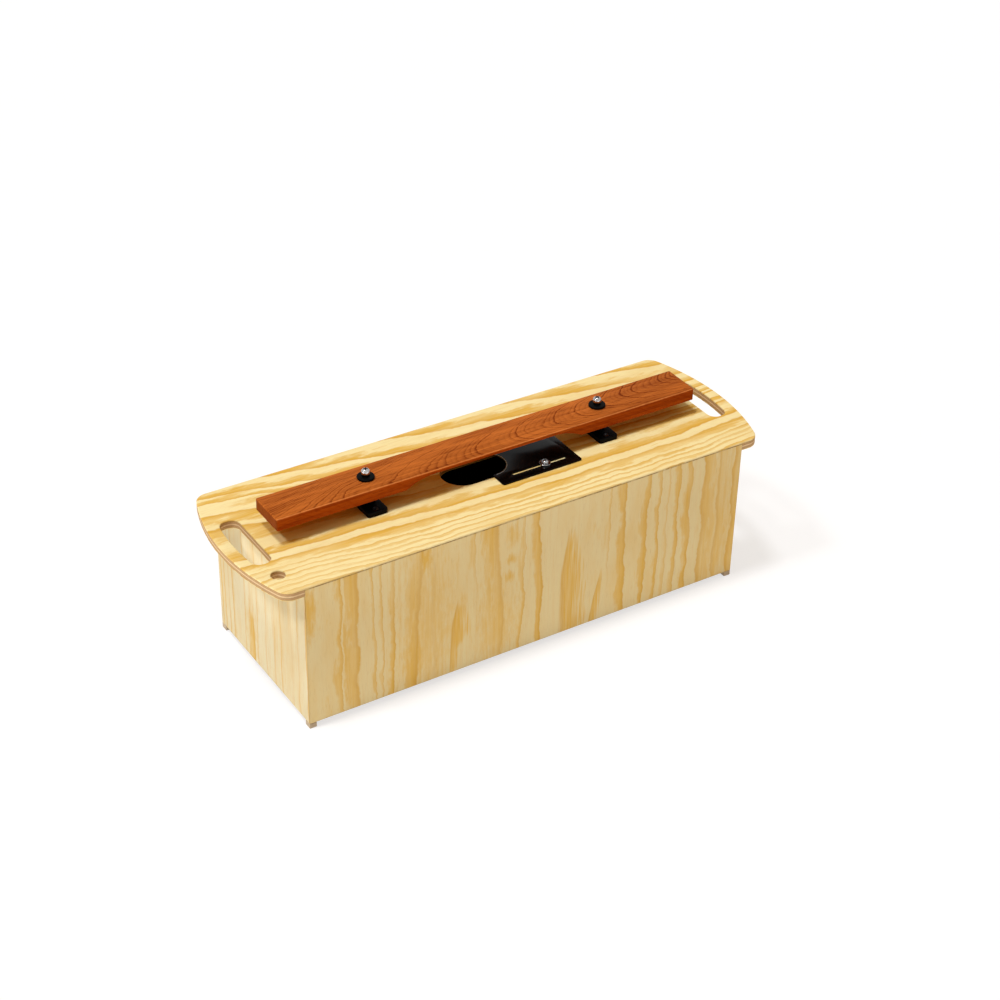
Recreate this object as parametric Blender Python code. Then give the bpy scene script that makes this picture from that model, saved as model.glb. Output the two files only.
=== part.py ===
"""Resonator bar: one undercut hardwood tone bar on a plywood resonance box.

The box stands on the floor with its length along X and its front towards -Y. The bar rides on two
supports that are screwed to the top plate, and a thin slider over the sound hole tunes the box.
Lengths are metres. The origin is on the floor, under the middle of the box.
"""

from math import atan2, cos, degrees, hypot, radians, sin, sqrt, tau

import bmesh
import bpy

# Clearances
GAP = 0.0003  # between pieces that seat on or in each other
OVERCUT = 0.002  # how far a cutter reaches past the face that it opens
MERGE_DISTANCE = 0.000001  # joins the points of a turned profile that lie on its axis
SMOOTH_ANGLE = 35.0  # degrees, the steepest step between facets that is shaded smooth
BEVEL_ANGLE = 50.0  # degrees, the shallowest edge that a bevel rounds

# Resonance box
BOX_LENGTH = 0.690  # over the side panels
BOX_DEPTH = 0.261  # over the front and back panels
BOX_HEIGHT = 0.2183  # from the panels' lower edge to the top of the plate
PANEL_THICKNESS = 0.012
BOTTOM_THICKNESS = 0.009
BOTTOM_INSET = 0.004  # the bottom panel lies this far above the panels' lower edge
FOOT_LENGTH = 0.0105
FOOT_DEPTH = 0.012
FOOT_HEIGHT = 0.008
FOOT_ROUND = 0.0008

# Top plate
PLATE_OVERHANG = 0.0523  # past the side panels, at the middle of each end
PLATE_THICKNESS = 0.0135
PLATE_LIP = 0.002  # face layers that run on over the front and back panels
PLATE_END_RADIUS = 0.3445
PLATE_CORNER_RADIUS = 0.020
PLATE_ROUND = 0.0008
HAND_SLOT_LENGTH = 0.112
HAND_SLOT_RIM = 0.0175  # wood between the slot and the plate's end
HAND_SLOT_SETBACK = 0.004  # from the side panel's outer face to the slot
HAND_SLOT_CORNER_RADIUS = 0.0125
HAND_SLOT_CHAMFER = 0.001
MALLET_HOLE_DIAMETER = 0.0195
MALLET_HOLE_OVERHANG = 0.0148  # hole centre, outside the left side panel
MALLET_HOLE_SETBACK = 0.0436  # hole centre, behind the front panel's face
SOUND_HOLE_LENGTH = 0.132
SOUND_HOLE_WIDTH = 0.0616
HOLE_CHAMFER = 0.0006  # on the sound hole and the mallet hole

# Tuning slider
SLIDER_LENGTH = 0.1283
SLIDER_WIDTH = 0.112
SLIDER_THICKNESS = 0.002
SLIDER_SETTING = 0.0772  # from its left edge to the lock screws, as it is set
SLIDER_CORNER_RADIUS = 0.003
NOTCH_WIDTH = 0.058
NOTCH_DEPTH = 0.036
GUIDE_SLOT_START = 0.0241  # from the slider's left edge to the slot
GUIDE_SLOT_END = 0.0166  # from the slot to the slider's right edge
GUIDE_SLOT_PLAY = 0.0008  # on each side of the lock screw, so that the slider runs freely
GUIDE_SLOT_INSET = 0.0162  # from the slider's long edge to the slot's middle line
LOCK_SCREW_X = 0.0735  # to the right of the plate's middle
LOCK_SCREW_DIAMETER = 0.0044
LOCK_SCREW_REACH = 0.009  # into the plate
LOCK_HEAD_DIAMETER = 0.0095
LOCK_HEAD_HEIGHT = 0.0045
WASHER_DIAMETER = 0.016
WASHER_THICKNESS = 0.0014

# Tone bar
BAR_LENGTH = 0.6633
BAR_WIDTH = 0.060
BAR_THICKNESS = 0.018
BAR_MIDDLE_THICKNESS = 0.0055
BAR_ROUND = 0.0018
UNDERCUT_LENGTH = 0.279  # at the bar's underside
UNDERCUT_RADIUS = 0.087
NODE_SPACING = 0.3692  # between the two still points where the bar is held
BAR_LIFT = 0.0035  # free height between the grommet and the screw head

# Bar supports
SUPPORT_LENGTH = 0.0304
SUPPORT_DEPTH = 0.068
SUPPORT_HEIGHT = 0.0066
SUPPORT_CORNER_RADIUS = 0.004
SUPPORT_ROUND = 0.0006
TOWER_DIAMETER = 0.024
TOWER_HEIGHT = 0.0164  # above the plate
SUPPORT_SCREW_INSET = 0.0085  # from the base's end to the screw
SUPPORT_SCREW_DIAMETER = 0.0036
SUPPORT_SCREW_REACH = 0.009
SUPPORT_HEAD_DIAMETER = 0.008
SUPPORT_HEAD_RIM = 0.0004

# Soft and turned pieces on the bar's screws
CUSHION_DIAMETER = 0.022
CUSHION_HEIGHT = 0.0053
GROMMET_DIAMETER = 0.024
GROMMET_FLANGE = 0.0035
GROMMET_WALL = 0.0014  # of its neck
GROMMET_REACH = 0.014  # of its neck, into the bar
SOFT_ROUND = 0.0008
SLEEVE_WALL = 0.0022
SLEEVE_CHAMFER = 0.0004
BAR_SCREW_DIAMETER = 0.005
BAR_SCREW_REACH = 0.010
BAR_HEAD_DIAMETER = 0.012
BAR_HEAD_HEIGHT = 0.0075

# Screw heads: the rim's share of a domed head, and the cross recess as shares of its head
DOME_RIM = 0.33
RECESS_SPAN = 0.62
RECESS_WIDTH = 0.15
RECESS_DEPTH = 0.45

# Facets
FILLET_STEPS = 6
END_STEPS = 24
HALF_TURN_STEPS = 20
UNDERCUT_STEPS = 8
DOME_STEPS = 4
EDGE_STEPS = 3
LARGE_SIDES = 32
SMALL_SIDES = 20
BEVEL_STEPS = 2

# Levels and places that follow from the sizes
BOX_LEVEL = FOOT_HEIGHT
PLATE_TOP = BOX_LEVEL + BOX_HEIGHT
PLATE_UNDERSIDE = PLATE_TOP - PLATE_THICKNESS
SUPPORT_LEVEL = PLATE_TOP + GAP
SUPPORT_TOP = SUPPORT_LEVEL + SUPPORT_HEIGHT
TOWER_TOP = SUPPORT_LEVEL + TOWER_HEIGHT
CUSHION_LEVEL = TOWER_TOP + GAP
BAR_LEVEL = CUSHION_LEVEL + CUSHION_HEIGHT + GAP
BAR_TOP = BAR_LEVEL + BAR_THICKNESS
GROMMET_LEVEL = BAR_TOP + GAP
SLEEVE_TOP = GROMMET_LEVEL + GROMMET_FLANGE + BAR_LIFT
BAR_HEAD_LEVEL = SLEEVE_TOP + GAP
SLIDER_LEVEL = PLATE_TOP + GAP
WASHER_LEVEL = SLIDER_LEVEL + SLIDER_THICKNESS + GAP
LOCK_HEAD_LEVEL = WASHER_LEVEL + WASHER_THICKNESS + GAP
MITRE_GAP = GAP * sqrt(2)
PLATE_ARC_X = BOX_LENGTH / 2 + PLATE_OVERHANG - PLATE_END_RADIUS
SLIDER_START = LOCK_SCREW_X - SLIDER_SETTING
LOCK_SCREW_Y = SLIDER_WIDTH / 2 - GUIDE_SLOT_INSET
SUPPORT_SCREW_Y = SUPPORT_DEPTH / 2 - SUPPORT_SCREW_INSET
SLEEVE_BORE = BAR_SCREW_DIAMETER + 2 * GAP
SLEEVE_DIAMETER = SLEEVE_BORE + 2 * SLEEVE_WALL
GROMMET_BORE = SLEEVE_DIAMETER + 2 * GAP
GROMMET_NECK_DIAMETER = GROMMET_BORE + 2 * GROMMET_WALL
BAR_HOLE_DIAMETER = GROMMET_NECK_DIAMETER + 2 * GAP
NODES = {"left": -NODE_SPACING / 2, "right": NODE_SPACING / 2}
DEPTH_SIDES = {"front": -1, "back": 1}

# Finishes: base colour, roughness, metallic
PLYWOOD = ((0.80, 0.62, 0.34), 0.55, 0.0)
HARDWOOD = ((0.40, 0.12, 0.04), 0.40, 0.0)
BLACK_PLASTIC = ((0.012, 0.012, 0.013), 0.45, 0.0)
BLACK_SHEET = ((0.008, 0.008, 0.009), 0.30, 0.0)
RUBBER = ((0.015, 0.015, 0.016), 0.80, 0.0)
NICKEL = ((0.72, 0.71, 0.69), 0.22, 1.0)
DARK_STEEL = ((0.06, 0.06, 0.065), 0.40, 1.0)
FOOT_PAD = ((0.42, 0.37, 0.30), 0.75, 0.0)


def finish(name, look):
    """A Principled material with the colour, roughness and metallic value of one finish."""
    colour, roughness, metallic = look
    material = bpy.data.materials.new(name)
    material.use_nodes = True
    shader = material.node_tree.nodes["Principled BSDF"]
    shader.inputs["Base Color"].default_value = (*colour, 1.0)
    shader.inputs["Roughness"].default_value = roughness
    shader.inputs["Metallic"].default_value = metallic
    return material


def add_object(name, shape, look, location=(0.0, 0.0, 0.0)):
    """Turns a bmesh into a named object with a finish, and places it."""
    mesh = bpy.data.meshes.new(name)
    shape.to_mesh(mesh)
    shape.free()
    mesh.shade_smooth()
    mesh.set_sharp_from_angle(angle=radians(SMOOTH_ANGLE))
    mesh.materials.append(finish(name, look))
    item = bpy.data.objects.new(name, mesh)
    item.location = location
    bpy.context.scene.collection.objects.link(item)
    return item


def add_bevel(item, width):
    """Rounds the square edges of an object."""
    bevel = item.modifiers.new("rounded_edges", "BEVEL")
    bevel.width = width
    bevel.segments = BEVEL_STEPS
    bevel.limit_method = "ANGLE"
    bevel.angle_limit = radians(BEVEL_ANGLE)


def combine(item, name, shapes, operation):
    """Cuts the shapes out of an object, or joins them to it, through one hidden helper."""
    helper_mesh = bpy.data.meshes.new(name)
    whole = bmesh.new()
    for shape in shapes:
        shape.to_mesh(helper_mesh)
        shape.free()
        whole.from_mesh(helper_mesh)
    whole.to_mesh(helper_mesh)
    whole.free()
    helper = bpy.data.objects.new(name, helper_mesh)
    helper.parent = item
    helper.hide_render = True
    helper.display_type = "WIRE"
    bpy.context.scene.collection.objects.link(helper)
    boolean = item.modifiers.new(name, "BOOLEAN")
    boolean.operation = operation
    boolean.solver = "EXACT"
    boolean.object = helper


def arc(centre, radius, start, end, steps):
    """Points along an arc, both ends included, with its angles in degrees."""
    points = []
    for step in range(steps + 1):
        angle = radians(start + (end - start) * step / steps)
        points.append((centre[0] + radius * cos(angle), centre[1] + radius * sin(angle)))
    return points


def mirrored(outline):
    """The outline on the other side of the YZ plane."""
    return [(-x, y) for x, y in reversed(outline)]


def rectangle(x_low, x_high, y_low, y_high):
    return [(x_low, y_low), (x_high, y_low), (x_high, y_high), (x_low, y_high)]


def rounded_rectangle(length, depth, radius):
    """A rectangle about the origin with round corners."""
    x = length / 2 - radius
    y = depth / 2 - radius
    corners = ((x, -y, -90), (x, y, 0), (-x, y, 90), (-x, -y, 180))
    outline = []
    for corner_x, corner_y, start in corners:
        outline += arc((corner_x, corner_y), radius, start, start + 90, FILLET_STEPS)
    return outline


def oblong(x_low, x_high, width):
    """A slot along X with half-round ends, about y = 0."""
    radius = width / 2
    right = arc((x_high - radius, 0.0), radius, -90, 90, HALF_TURN_STEPS)
    left = arc((x_low + radius, 0.0), radius, 90, 270, HALF_TURN_STEPS)
    return right + left


def curved_end(arc_x, radius, half_depth, fillet):
    """A right-hand end, from front to back: a fillet, an arc about (arc_x, 0) and a fillet."""
    fillet_y = half_depth - fillet
    reach = sqrt((radius - fillet) ** 2 - fillet_y**2)
    turn = degrees(atan2(fillet_y, reach))
    front = arc((arc_x + reach, -fillet_y), fillet, -90, -turn, FILLET_STEPS)
    end = arc((arc_x, 0.0), radius, -turn, turn, END_STEPS)
    back = arc((arc_x + reach, fillet_y), fillet, turn, 90, FILLET_STEPS)
    return front + end[1:-1] + back


def prism(outline, low, high, along="Z"):
    """A closed shape: an outline in the XY plane, or in the XZ plane for along="Y", pulled straight."""
    shape = bmesh.new()
    if along == "Z":
        points = [(u, v, low) for u, v in outline]
        pull = (0.0, 0.0, high - low)
    else:
        points = [(u, low, v) for u, v in outline]
        pull = (0.0, high - low, 0.0)
    face = shape.faces.new([shape.verts.new(point) for point in points])
    grown = bmesh.ops.extrude_face_region(shape, geom=[face])
    far_side = [item for item in grown["geom"] if isinstance(item, bmesh.types.BMVert)]
    bmesh.ops.translate(shape, verts=far_side, vec=pull)
    bmesh.ops.recalc_face_normals(shape, faces=shape.faces)
    return shape


def widened(outline, distance):
    """A rounded outline, listed anticlockwise, moved outwards by a distance."""
    moved = []
    for index, (x, y) in enumerate(outline):
        before = outline[index - 1]
        after = outline[(index + 1) % len(outline)]
        along_x = after[0] - before[0]
        along_y = after[1] - before[1]
        scale = distance / hypot(along_x, along_y)
        moved.append((x + along_y * scale, y - along_x * scale))
    return moved


def flared_hole(outline, low, high, chamfer):
    """A cutter for a hole between two faces whose rims are both chamfered."""
    shape = bmesh.new()
    flare = chamfer + OVERCUT
    levels = ((low - OVERCUT, flare), (low + chamfer, 0.0), (high - chamfer, 0.0), (high + OVERCUT, flare))
    rings = []
    for height, distance in levels:
        rings.append([shape.verts.new((x, y, height)) for x, y in widened(outline, distance)])
    for lower, upper in zip(rings, rings[1:]):
        for index in range(len(outline)):
            shape.faces.new((lower[index - 1], lower[index], upper[index], upper[index - 1]))
    shape.faces.new(rings[0])
    shape.faces.new(rings[-1])
    bmesh.ops.recalc_face_normals(shape, faces=shape.faces)
    return shape


def turned(profile, sides, centre=(0.0, 0.0)):
    """Turns a profile about a vertical axis: a closed loop, or a line that starts and ends on the axis."""
    shape = bmesh.new()
    points = [shape.verts.new((radius, 0.0, height)) for radius, height in profile]
    pairs = list(zip(points, points[1:]))
    if profile[0][0] > 0.0:
        pairs.append((points[-1], points[0]))
    edges = [shape.edges.new(pair) for pair in pairs]
    bmesh.ops.spin(
        shape,
        geom=points + edges,
        cent=(0.0, 0.0, 0.0),
        axis=(0.0, 0.0, 1.0),
        angle=tau,
        steps=sides,
        use_merge=True,
    )
    bmesh.ops.remove_doubles(shape, verts=shape.verts, dist=MERGE_DISTANCE)
    bmesh.ops.translate(shape, verts=shape.verts, vec=(*centre, 0.0))
    bmesh.ops.recalc_face_normals(shape, faces=shape.faces)
    return shape


def rod(radius, low, high, sides, centre=(0.0, 0.0)):
    return turned([(0.0, low), (radius, low), (radius, high), (0.0, high)], sides, centre)


def ring_profile(inner, outer, low, high, edge):
    """The section of a ring whose two outer edges are rounded."""
    top = arc((outer - edge, high - edge), edge, 90, 0, EDGE_STEPS)
    foot = arc((outer - edge, low + edge), edge, 0, -90, EDGE_STEPS)
    return [(inner, low), (inner, high)] + top + foot


def cross_recess(head_diameter, head_height, top):
    """The driver recess of a screw head, as a cutter."""
    arm = head_diameter * RECESS_SPAN / 2
    half = head_diameter * RECESS_WIDTH / 2
    outline = [
        (arm, -half),
        (arm, half),
        (half, half),
        (half, arm),
        (-half, arm),
        (-half, half),
        (-arm, half),
        (-arm, -half),
        (-half, -half),
        (-half, -arm),
        (half, -arm),
        (half, -half),
    ]
    return prism(outline, top - head_height * RECESS_DEPTH, top + OVERCUT)


def dome_screw(name, look, head_diameter, head_height, diameter, length, location):
    """A screw with a domed head above its location and its shank below."""
    head = head_diameter / 2
    rim = head_height * DOME_RIM
    dome = []
    for step in range(DOME_STEPS + 1):
        angle = radians(90.0 * step / DOME_STEPS)
        dome.append((head * sin(angle), rim + (head_height - rim) * cos(angle)))
    shank = [(head, 0.0), (diameter / 2, 0.0), (diameter / 2, -length), (0.0, -length - diameter / 2)]
    screw = add_object(name, turned(dome + shank, SMALL_SIDES), look, location)
    recess = cross_recess(head_diameter, head_height, head_height)
    combine(screw, name + "_recess", [recess], "DIFFERENCE")


def flat_screw(name, look, head_diameter, rim, diameter, length, location):
    """A countersunk screw whose flat top is at its location."""
    head = head_diameter / 2
    cone = rim + head - diameter / 2
    profile = [
        (0.0, 0.0),
        (head, 0.0),
        (head, -rim),
        (diameter / 2, -cone),
        (diameter / 2, -length),
        (0.0, -length - diameter / 2),
    ]
    screw = add_object(name, turned(profile, SMALL_SIDES), look, location)
    recess = cross_recess(head_diameter, cone, 0.0)
    combine(screw, name + "_recess", [recess], "DIFFERENCE")


def screw_holes():
    """Every place in the plate that takes a screw, with the screw's diameter."""
    holes = []
    for node_x in NODES.values():
        holes.append((node_x, 0.0, BAR_SCREW_DIAMETER))
        for side in DEPTH_SIDES.values():
            holes.append((node_x, side * SUPPORT_SCREW_Y, SUPPORT_SCREW_DIAMETER))
    for side in DEPTH_SIDES.values():
        holes.append((LOCK_SCREW_X, side * LOCK_SCREW_Y, LOCK_SCREW_DIAMETER))
    return holes


def panel_rebate(side):
    """The step under the plate's front or back lip, mitred like the panel that fills it."""
    outer = BOX_DEPTH / 2 + OVERCUT
    inner = BOX_DEPTH / 2 - PANEL_THICKNESS - GAP
    outer_x = BOX_LENGTH / 2 + MITRE_GAP + OVERCUT
    inner_x = BOX_LENGTH / 2 - PANEL_THICKNESS + MITRE_GAP - GAP
    outline = [
        (-outer_x, side * outer),
        (outer_x, side * outer),
        (inner_x, side * inner),
        (-inner_x, side * inner),
    ]
    return prism(outline, PLATE_UNDERSIDE - OVERCUT, PLATE_TOP - PLATE_LIP)


def hand_slot_outline():
    """The right-hand slot: a straight inner edge beside the panel and an outer edge along the plate's end."""
    inner = BOX_LENGTH / 2 + HAND_SLOT_SETBACK
    half = HAND_SLOT_LENGTH / 2
    outer_radius = PLATE_END_RADIUS - HAND_SLOT_RIM
    end_width = PLATE_ARC_X + sqrt(outer_radius**2 - half**2) - inner
    radius = min(HAND_SLOT_CORNER_RADIUS, end_width / 2)
    outer = curved_end(PLATE_ARC_X, outer_radius, half, radius)
    back = arc((inner + radius, half - radius), radius, 90, 180, FILLET_STEPS)
    front = arc((inner + radius, radius - half), radius, 180, 270, FILLET_STEPS)
    return outer + back + front


def build_top_plate():
    end = curved_end(PLATE_ARC_X, PLATE_END_RADIUS, BOX_DEPTH / 2, PLATE_CORNER_RADIUS)
    outline = end + mirrored(end)
    plate = add_object("top_plate", prism(outline, PLATE_UNDERSIDE, PLATE_TOP), PLYWOOD)
    add_bevel(plate, PLATE_ROUND)
    slot = hand_slot_outline()
    sound_hole = oblong(-SOUND_HOLE_LENGTH / 2, SOUND_HOLE_LENGTH / 2, SOUND_HOLE_WIDTH)
    mallet_centre = (-BOX_LENGTH / 2 - MALLET_HOLE_OVERHANG, MALLET_HOLE_SETBACK - BOX_DEPTH / 2)
    mallet_hole = arc(mallet_centre, MALLET_HOLE_DIAMETER / 2, 0, 360, LARGE_SIDES)[:-1]
    openings = (
        (slot, HAND_SLOT_CHAMFER),
        (mirrored(slot), HAND_SLOT_CHAMFER),
        (sound_hole, HOLE_CHAMFER),
        (mallet_hole, HOLE_CHAMFER),
    )
    cuts = [flared_hole(hole, PLATE_UNDERSIDE, PLATE_TOP, chamfer) for hole, chamfer in openings]
    cuts += [panel_rebate(side) for side in DEPTH_SIDES.values()]
    low = PLATE_UNDERSIDE - OVERCUT
    high = PLATE_TOP + OVERCUT
    for x, y, diameter in screw_holes():
        cuts.append(rod(diameter / 2 + GAP, low, high, SMALL_SIDES, (x, y)))
    combine(plate, "top_plate_cuts", cuts, "DIFFERENCE")


def build_box():
    """The four mitred walls, the bottom that fits between them and the feet."""
    half_length = BOX_LENGTH / 2
    half_depth = BOX_DEPTH / 2
    inner_length = half_length - PANEL_THICKNESS
    inner_depth = half_depth - PANEL_THICKNESS
    for label, side in DEPTH_SIDES.items():
        outline = [
            (-half_length, side * half_depth),
            (half_length, side * half_depth),
            (inner_length, side * inner_depth),
            (-inner_length, side * inner_depth),
        ]
        wall = prism(outline, BOX_LEVEL, PLATE_TOP - PLATE_LIP - GAP)
        add_object(label + "_panel", wall, PLYWOOD)
    side_outline = [
        (half_length, MITRE_GAP - half_depth),
        (half_length, half_depth - MITRE_GAP),
        (inner_length, inner_depth - MITRE_GAP),
        (inner_length, MITRE_GAP - inner_depth),
    ]
    for label, outline in (("left", mirrored(side_outline)), ("right", side_outline)):
        wall = prism(outline, BOX_LEVEL, PLATE_UNDERSIDE - GAP)
        add_object(label + "_side_panel", wall, PLYWOOD)
    floor_x = inner_length - GAP
    floor_y = inner_depth - GAP
    floor_low = BOX_LEVEL + BOTTOM_INSET
    floor = prism(rectangle(-floor_x, floor_x, -floor_y, floor_y), floor_low, floor_low + BOTTOM_THICKNESS)
    add_object("bottom_panel", floor, PLYWOOD)
    for depth_label, depth_side in DEPTH_SIDES.items():
        for label, side in (("left", -1), ("right", 1)):
            x = side * (half_length - FOOT_LENGTH / 2)
            y = depth_side * (half_depth - FOOT_DEPTH / 2)
            pad_outline = rectangle(-FOOT_LENGTH / 2, FOOT_LENGTH / 2, -FOOT_DEPTH / 2, FOOT_DEPTH / 2)
            pad = prism(pad_outline, 0.0, FOOT_HEIGHT - GAP)
            foot = add_object("foot_" + depth_label + "_" + label, pad, FOOT_PAD, (x, y, 0.0))
            add_bevel(foot, FOOT_ROUND)


def build_tone_bar():
    """The bar, with its underside hollowed by two arcs that run into a flat middle."""
    half_length = BAR_LENGTH / 2
    rise = BAR_THICKNESS - BAR_MIDDLE_THICKNESS
    mouth = UNDERCUT_LENGTH / 2
    sweep = degrees(atan2(sqrt(UNDERCUT_RADIUS**2 - (UNDERCUT_RADIUS - rise) ** 2), UNDERCUT_RADIUS - rise))
    flat = mouth - UNDERCUT_RADIUS * sin(radians(sweep))
    right = arc((flat, rise - UNDERCUT_RADIUS), UNDERCUT_RADIUS, 90, 90 - sweep, UNDERCUT_STEPS)
    outline = [(-half_length, 0.0)] + mirrored(right) + right
    outline += [(half_length, 0.0), (half_length, BAR_THICKNESS), (-half_length, BAR_THICKNESS)]
    shape = prism(outline, -BAR_WIDTH / 2, BAR_WIDTH / 2, along="Y")
    bar = add_object("tone_bar", shape, HARDWOOD, (0.0, 0.0, BAR_LEVEL))
    add_bevel(bar, BAR_ROUND)
    radius = BAR_HOLE_DIAMETER / 2
    high = BAR_THICKNESS + OVERCUT
    holes = [rod(radius, -OVERCUT, high, LARGE_SIDES, (node_x, 0.0)) for node_x in NODES.values()]
    combine(bar, "tone_bar_holes", holes, "DIFFERENCE")


def countersink(centre_y):
    """The clearance for one support screw: its cone and its shank."""
    head = SUPPORT_HEAD_DIAMETER / 2 + GAP
    shank = SUPPORT_SCREW_DIAMETER / 2 + GAP
    rim = SUPPORT_HEIGHT - SUPPORT_HEAD_RIM - GAP
    profile = [
        (0.0, SUPPORT_HEIGHT + OVERCUT),
        (head, SUPPORT_HEIGHT + OVERCUT),
        (head, rim),
        (shank, rim - head + shank),
        (shank, -OVERCUT),
        (0.0, -OVERCUT),
    ]
    return turned(profile, SMALL_SIDES, (0.0, centre_y))


def build_support(label, node_x):
    """A support base with its tower, and the two screws that hold it to the plate."""
    base_outline = rounded_rectangle(SUPPORT_LENGTH, SUPPORT_DEPTH, SUPPORT_CORNER_RADIUS)
    base = prism(base_outline, 0.0, SUPPORT_HEIGHT)
    support = add_object(label + "_bar_support", base, BLACK_PLASTIC, (node_x, 0.0, SUPPORT_LEVEL))
    add_bevel(support, SUPPORT_ROUND)
    tower = rod(TOWER_DIAMETER / 2, SUPPORT_HEIGHT / 2, TOWER_HEIGHT, LARGE_SIDES)
    combine(support, label + "_bar_support_tower", [tower], "UNION")
    holes = [rod(SLEEVE_BORE / 2, -OVERCUT, TOWER_HEIGHT + OVERCUT, SMALL_SIDES)]
    for side in DEPTH_SIDES.values():
        holes.append(countersink(side * SUPPORT_SCREW_Y))
    combine(support, label + "_bar_support_holes", holes, "DIFFERENCE")
    for depth_label, side in DEPTH_SIDES.items():
        flat_screw(
            label + "_support_screw_" + depth_label,
            DARK_STEEL,
            SUPPORT_HEAD_DIAMETER,
            SUPPORT_HEAD_RIM,
            SUPPORT_SCREW_DIAMETER,
            SUPPORT_HEIGHT + SUPPORT_SCREW_REACH,
            (node_x, side * SUPPORT_SCREW_Y, SUPPORT_TOP),
        )


def build_bar_fixing(label, node_x):
    """The cushion, grommet, sleeve and screw at one end of the bar."""
    bore = GROMMET_BORE / 2
    cushion = ring_profile(bore, CUSHION_DIAMETER / 2, 0.0, CUSHION_HEIGHT, SOFT_ROUND)
    location = (node_x, 0.0, CUSHION_LEVEL)
    add_object(label + "_bar_cushion", turned(cushion, LARGE_SIDES), RUBBER, location)

    neck = GROMMET_NECK_DIAMETER / 2
    flange = ring_profile(bore, GROMMET_DIAMETER / 2, 0.0, GROMMET_FLANGE, SOFT_ROUND)
    grommet = [(bore, -GROMMET_REACH)] + flange[1:] + [(neck, 0.0), (neck, -GROMMET_REACH)]
    location = (node_x, 0.0, GROMMET_LEVEL)
    add_object(label + "_bar_grommet", turned(grommet, LARGE_SIDES), RUBBER, location)

    inner = SLEEVE_BORE / 2
    outer = SLEEVE_DIAMETER / 2
    sleeve_height = SLEEVE_TOP - CUSHION_LEVEL
    sleeve = [
        (inner, 0.0),
        (inner, sleeve_height),
        (outer - SLEEVE_CHAMFER, sleeve_height),
        (outer, sleeve_height - SLEEVE_CHAMFER),
        (outer, SLEEVE_CHAMFER),
        (outer - SLEEVE_CHAMFER, 0.0),
    ]
    location = (node_x, 0.0, CUSHION_LEVEL)
    add_object(label + "_bar_sleeve", turned(sleeve, LARGE_SIDES), BLACK_PLASTIC, location)

    dome_screw(
        label + "_bar_screw",
        NICKEL,
        BAR_HEAD_DIAMETER,
        BAR_HEAD_HEIGHT,
        BAR_SCREW_DIAMETER,
        BAR_HEAD_LEVEL - PLATE_TOP + BAR_SCREW_REACH,
        (node_x, 0.0, BAR_HEAD_LEVEL),
    )


def slider_outline():
    """The sheet from its left edge at x = 0, with the half-round notch in that edge."""
    half = SLIDER_WIDTH / 2
    radius = SLIDER_CORNER_RADIUS
    far = SLIDER_LENGTH - radius
    notch = NOTCH_WIDTH / 2
    outline = arc((radius, radius - half), radius, 180, 270, FILLET_STEPS)
    outline += arc((far, radius - half), radius, 270, 360, FILLET_STEPS)
    outline += arc((far, half - radius), radius, 0, 90, FILLET_STEPS)
    outline += arc((radius, half - radius), radius, 90, 180, FILLET_STEPS)
    outline += [(0.0, notch)]
    outline += arc((NOTCH_DEPTH - notch, 0.0), notch, 90, -90, HALF_TURN_STEPS)
    outline += [(0.0, -notch)]
    return outline


def build_slider():
    """The tuning slider with its two slots, and the screws and washers that clamp it."""
    sheet = prism(slider_outline(), 0.0, SLIDER_THICKNESS)
    slider = add_object("tuning_slider", sheet, BLACK_SHEET, (SLIDER_START, 0.0, SLIDER_LEVEL))
    bore = LOCK_SCREW_DIAMETER / 2 + GAP
    slot_width = LOCK_SCREW_DIAMETER + 2 * GUIDE_SLOT_PLAY
    slot_outline = oblong(GUIDE_SLOT_START, SLIDER_LENGTH - GUIDE_SLOT_END, slot_width)
    slots = []
    for label, side in DEPTH_SIDES.items():
        y = side * LOCK_SCREW_Y
        slot = [(x, across + y) for x, across in slot_outline]
        slots.append(prism(slot, -OVERCUT, SLIDER_THICKNESS + OVERCUT))
        washer = ring_profile(bore, WASHER_DIAMETER / 2, 0.0, WASHER_THICKNESS, WASHER_THICKNESS / 4)
        location = (LOCK_SCREW_X, y, WASHER_LEVEL)
        add_object("slider_washer_" + label, turned(washer, LARGE_SIDES), NICKEL, location)
        dome_screw(
            "slider_screw_" + label,
            NICKEL,
            LOCK_HEAD_DIAMETER,
            LOCK_HEAD_HEIGHT,
            LOCK_SCREW_DIAMETER,
            LOCK_HEAD_LEVEL - PLATE_TOP + LOCK_SCREW_REACH,
            (LOCK_SCREW_X, y, LOCK_HEAD_LEVEL),
        )
    combine(slider, "tuning_slider_slots", slots, "DIFFERENCE")


def main():
    for item in list(bpy.data.objects):
        bpy.data.objects.remove(item)
    build_box()
    build_top_plate()
    build_tone_bar()
    for label, node_x in NODES.items():
        build_support(label, node_x)
        build_bar_fixing(label, node_x)
    build_slider()


main()
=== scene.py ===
# %% [markdown]
# # A resonator bar, dressed
# One hardwood tone bar sits on cushions over a pine plywood box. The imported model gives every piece
# its place in metres, so this lesson only adds what the solids lack: soft arrises, round turned
# parts, and finishes that show what each piece is made of.

from collections import namedtuple
from functools import reduce
from math import atan2, cos, degrees, pi, radians, sin, sqrt, tau

import bmesh
import bpy
from mathutils import Matrix, Vector


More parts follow.
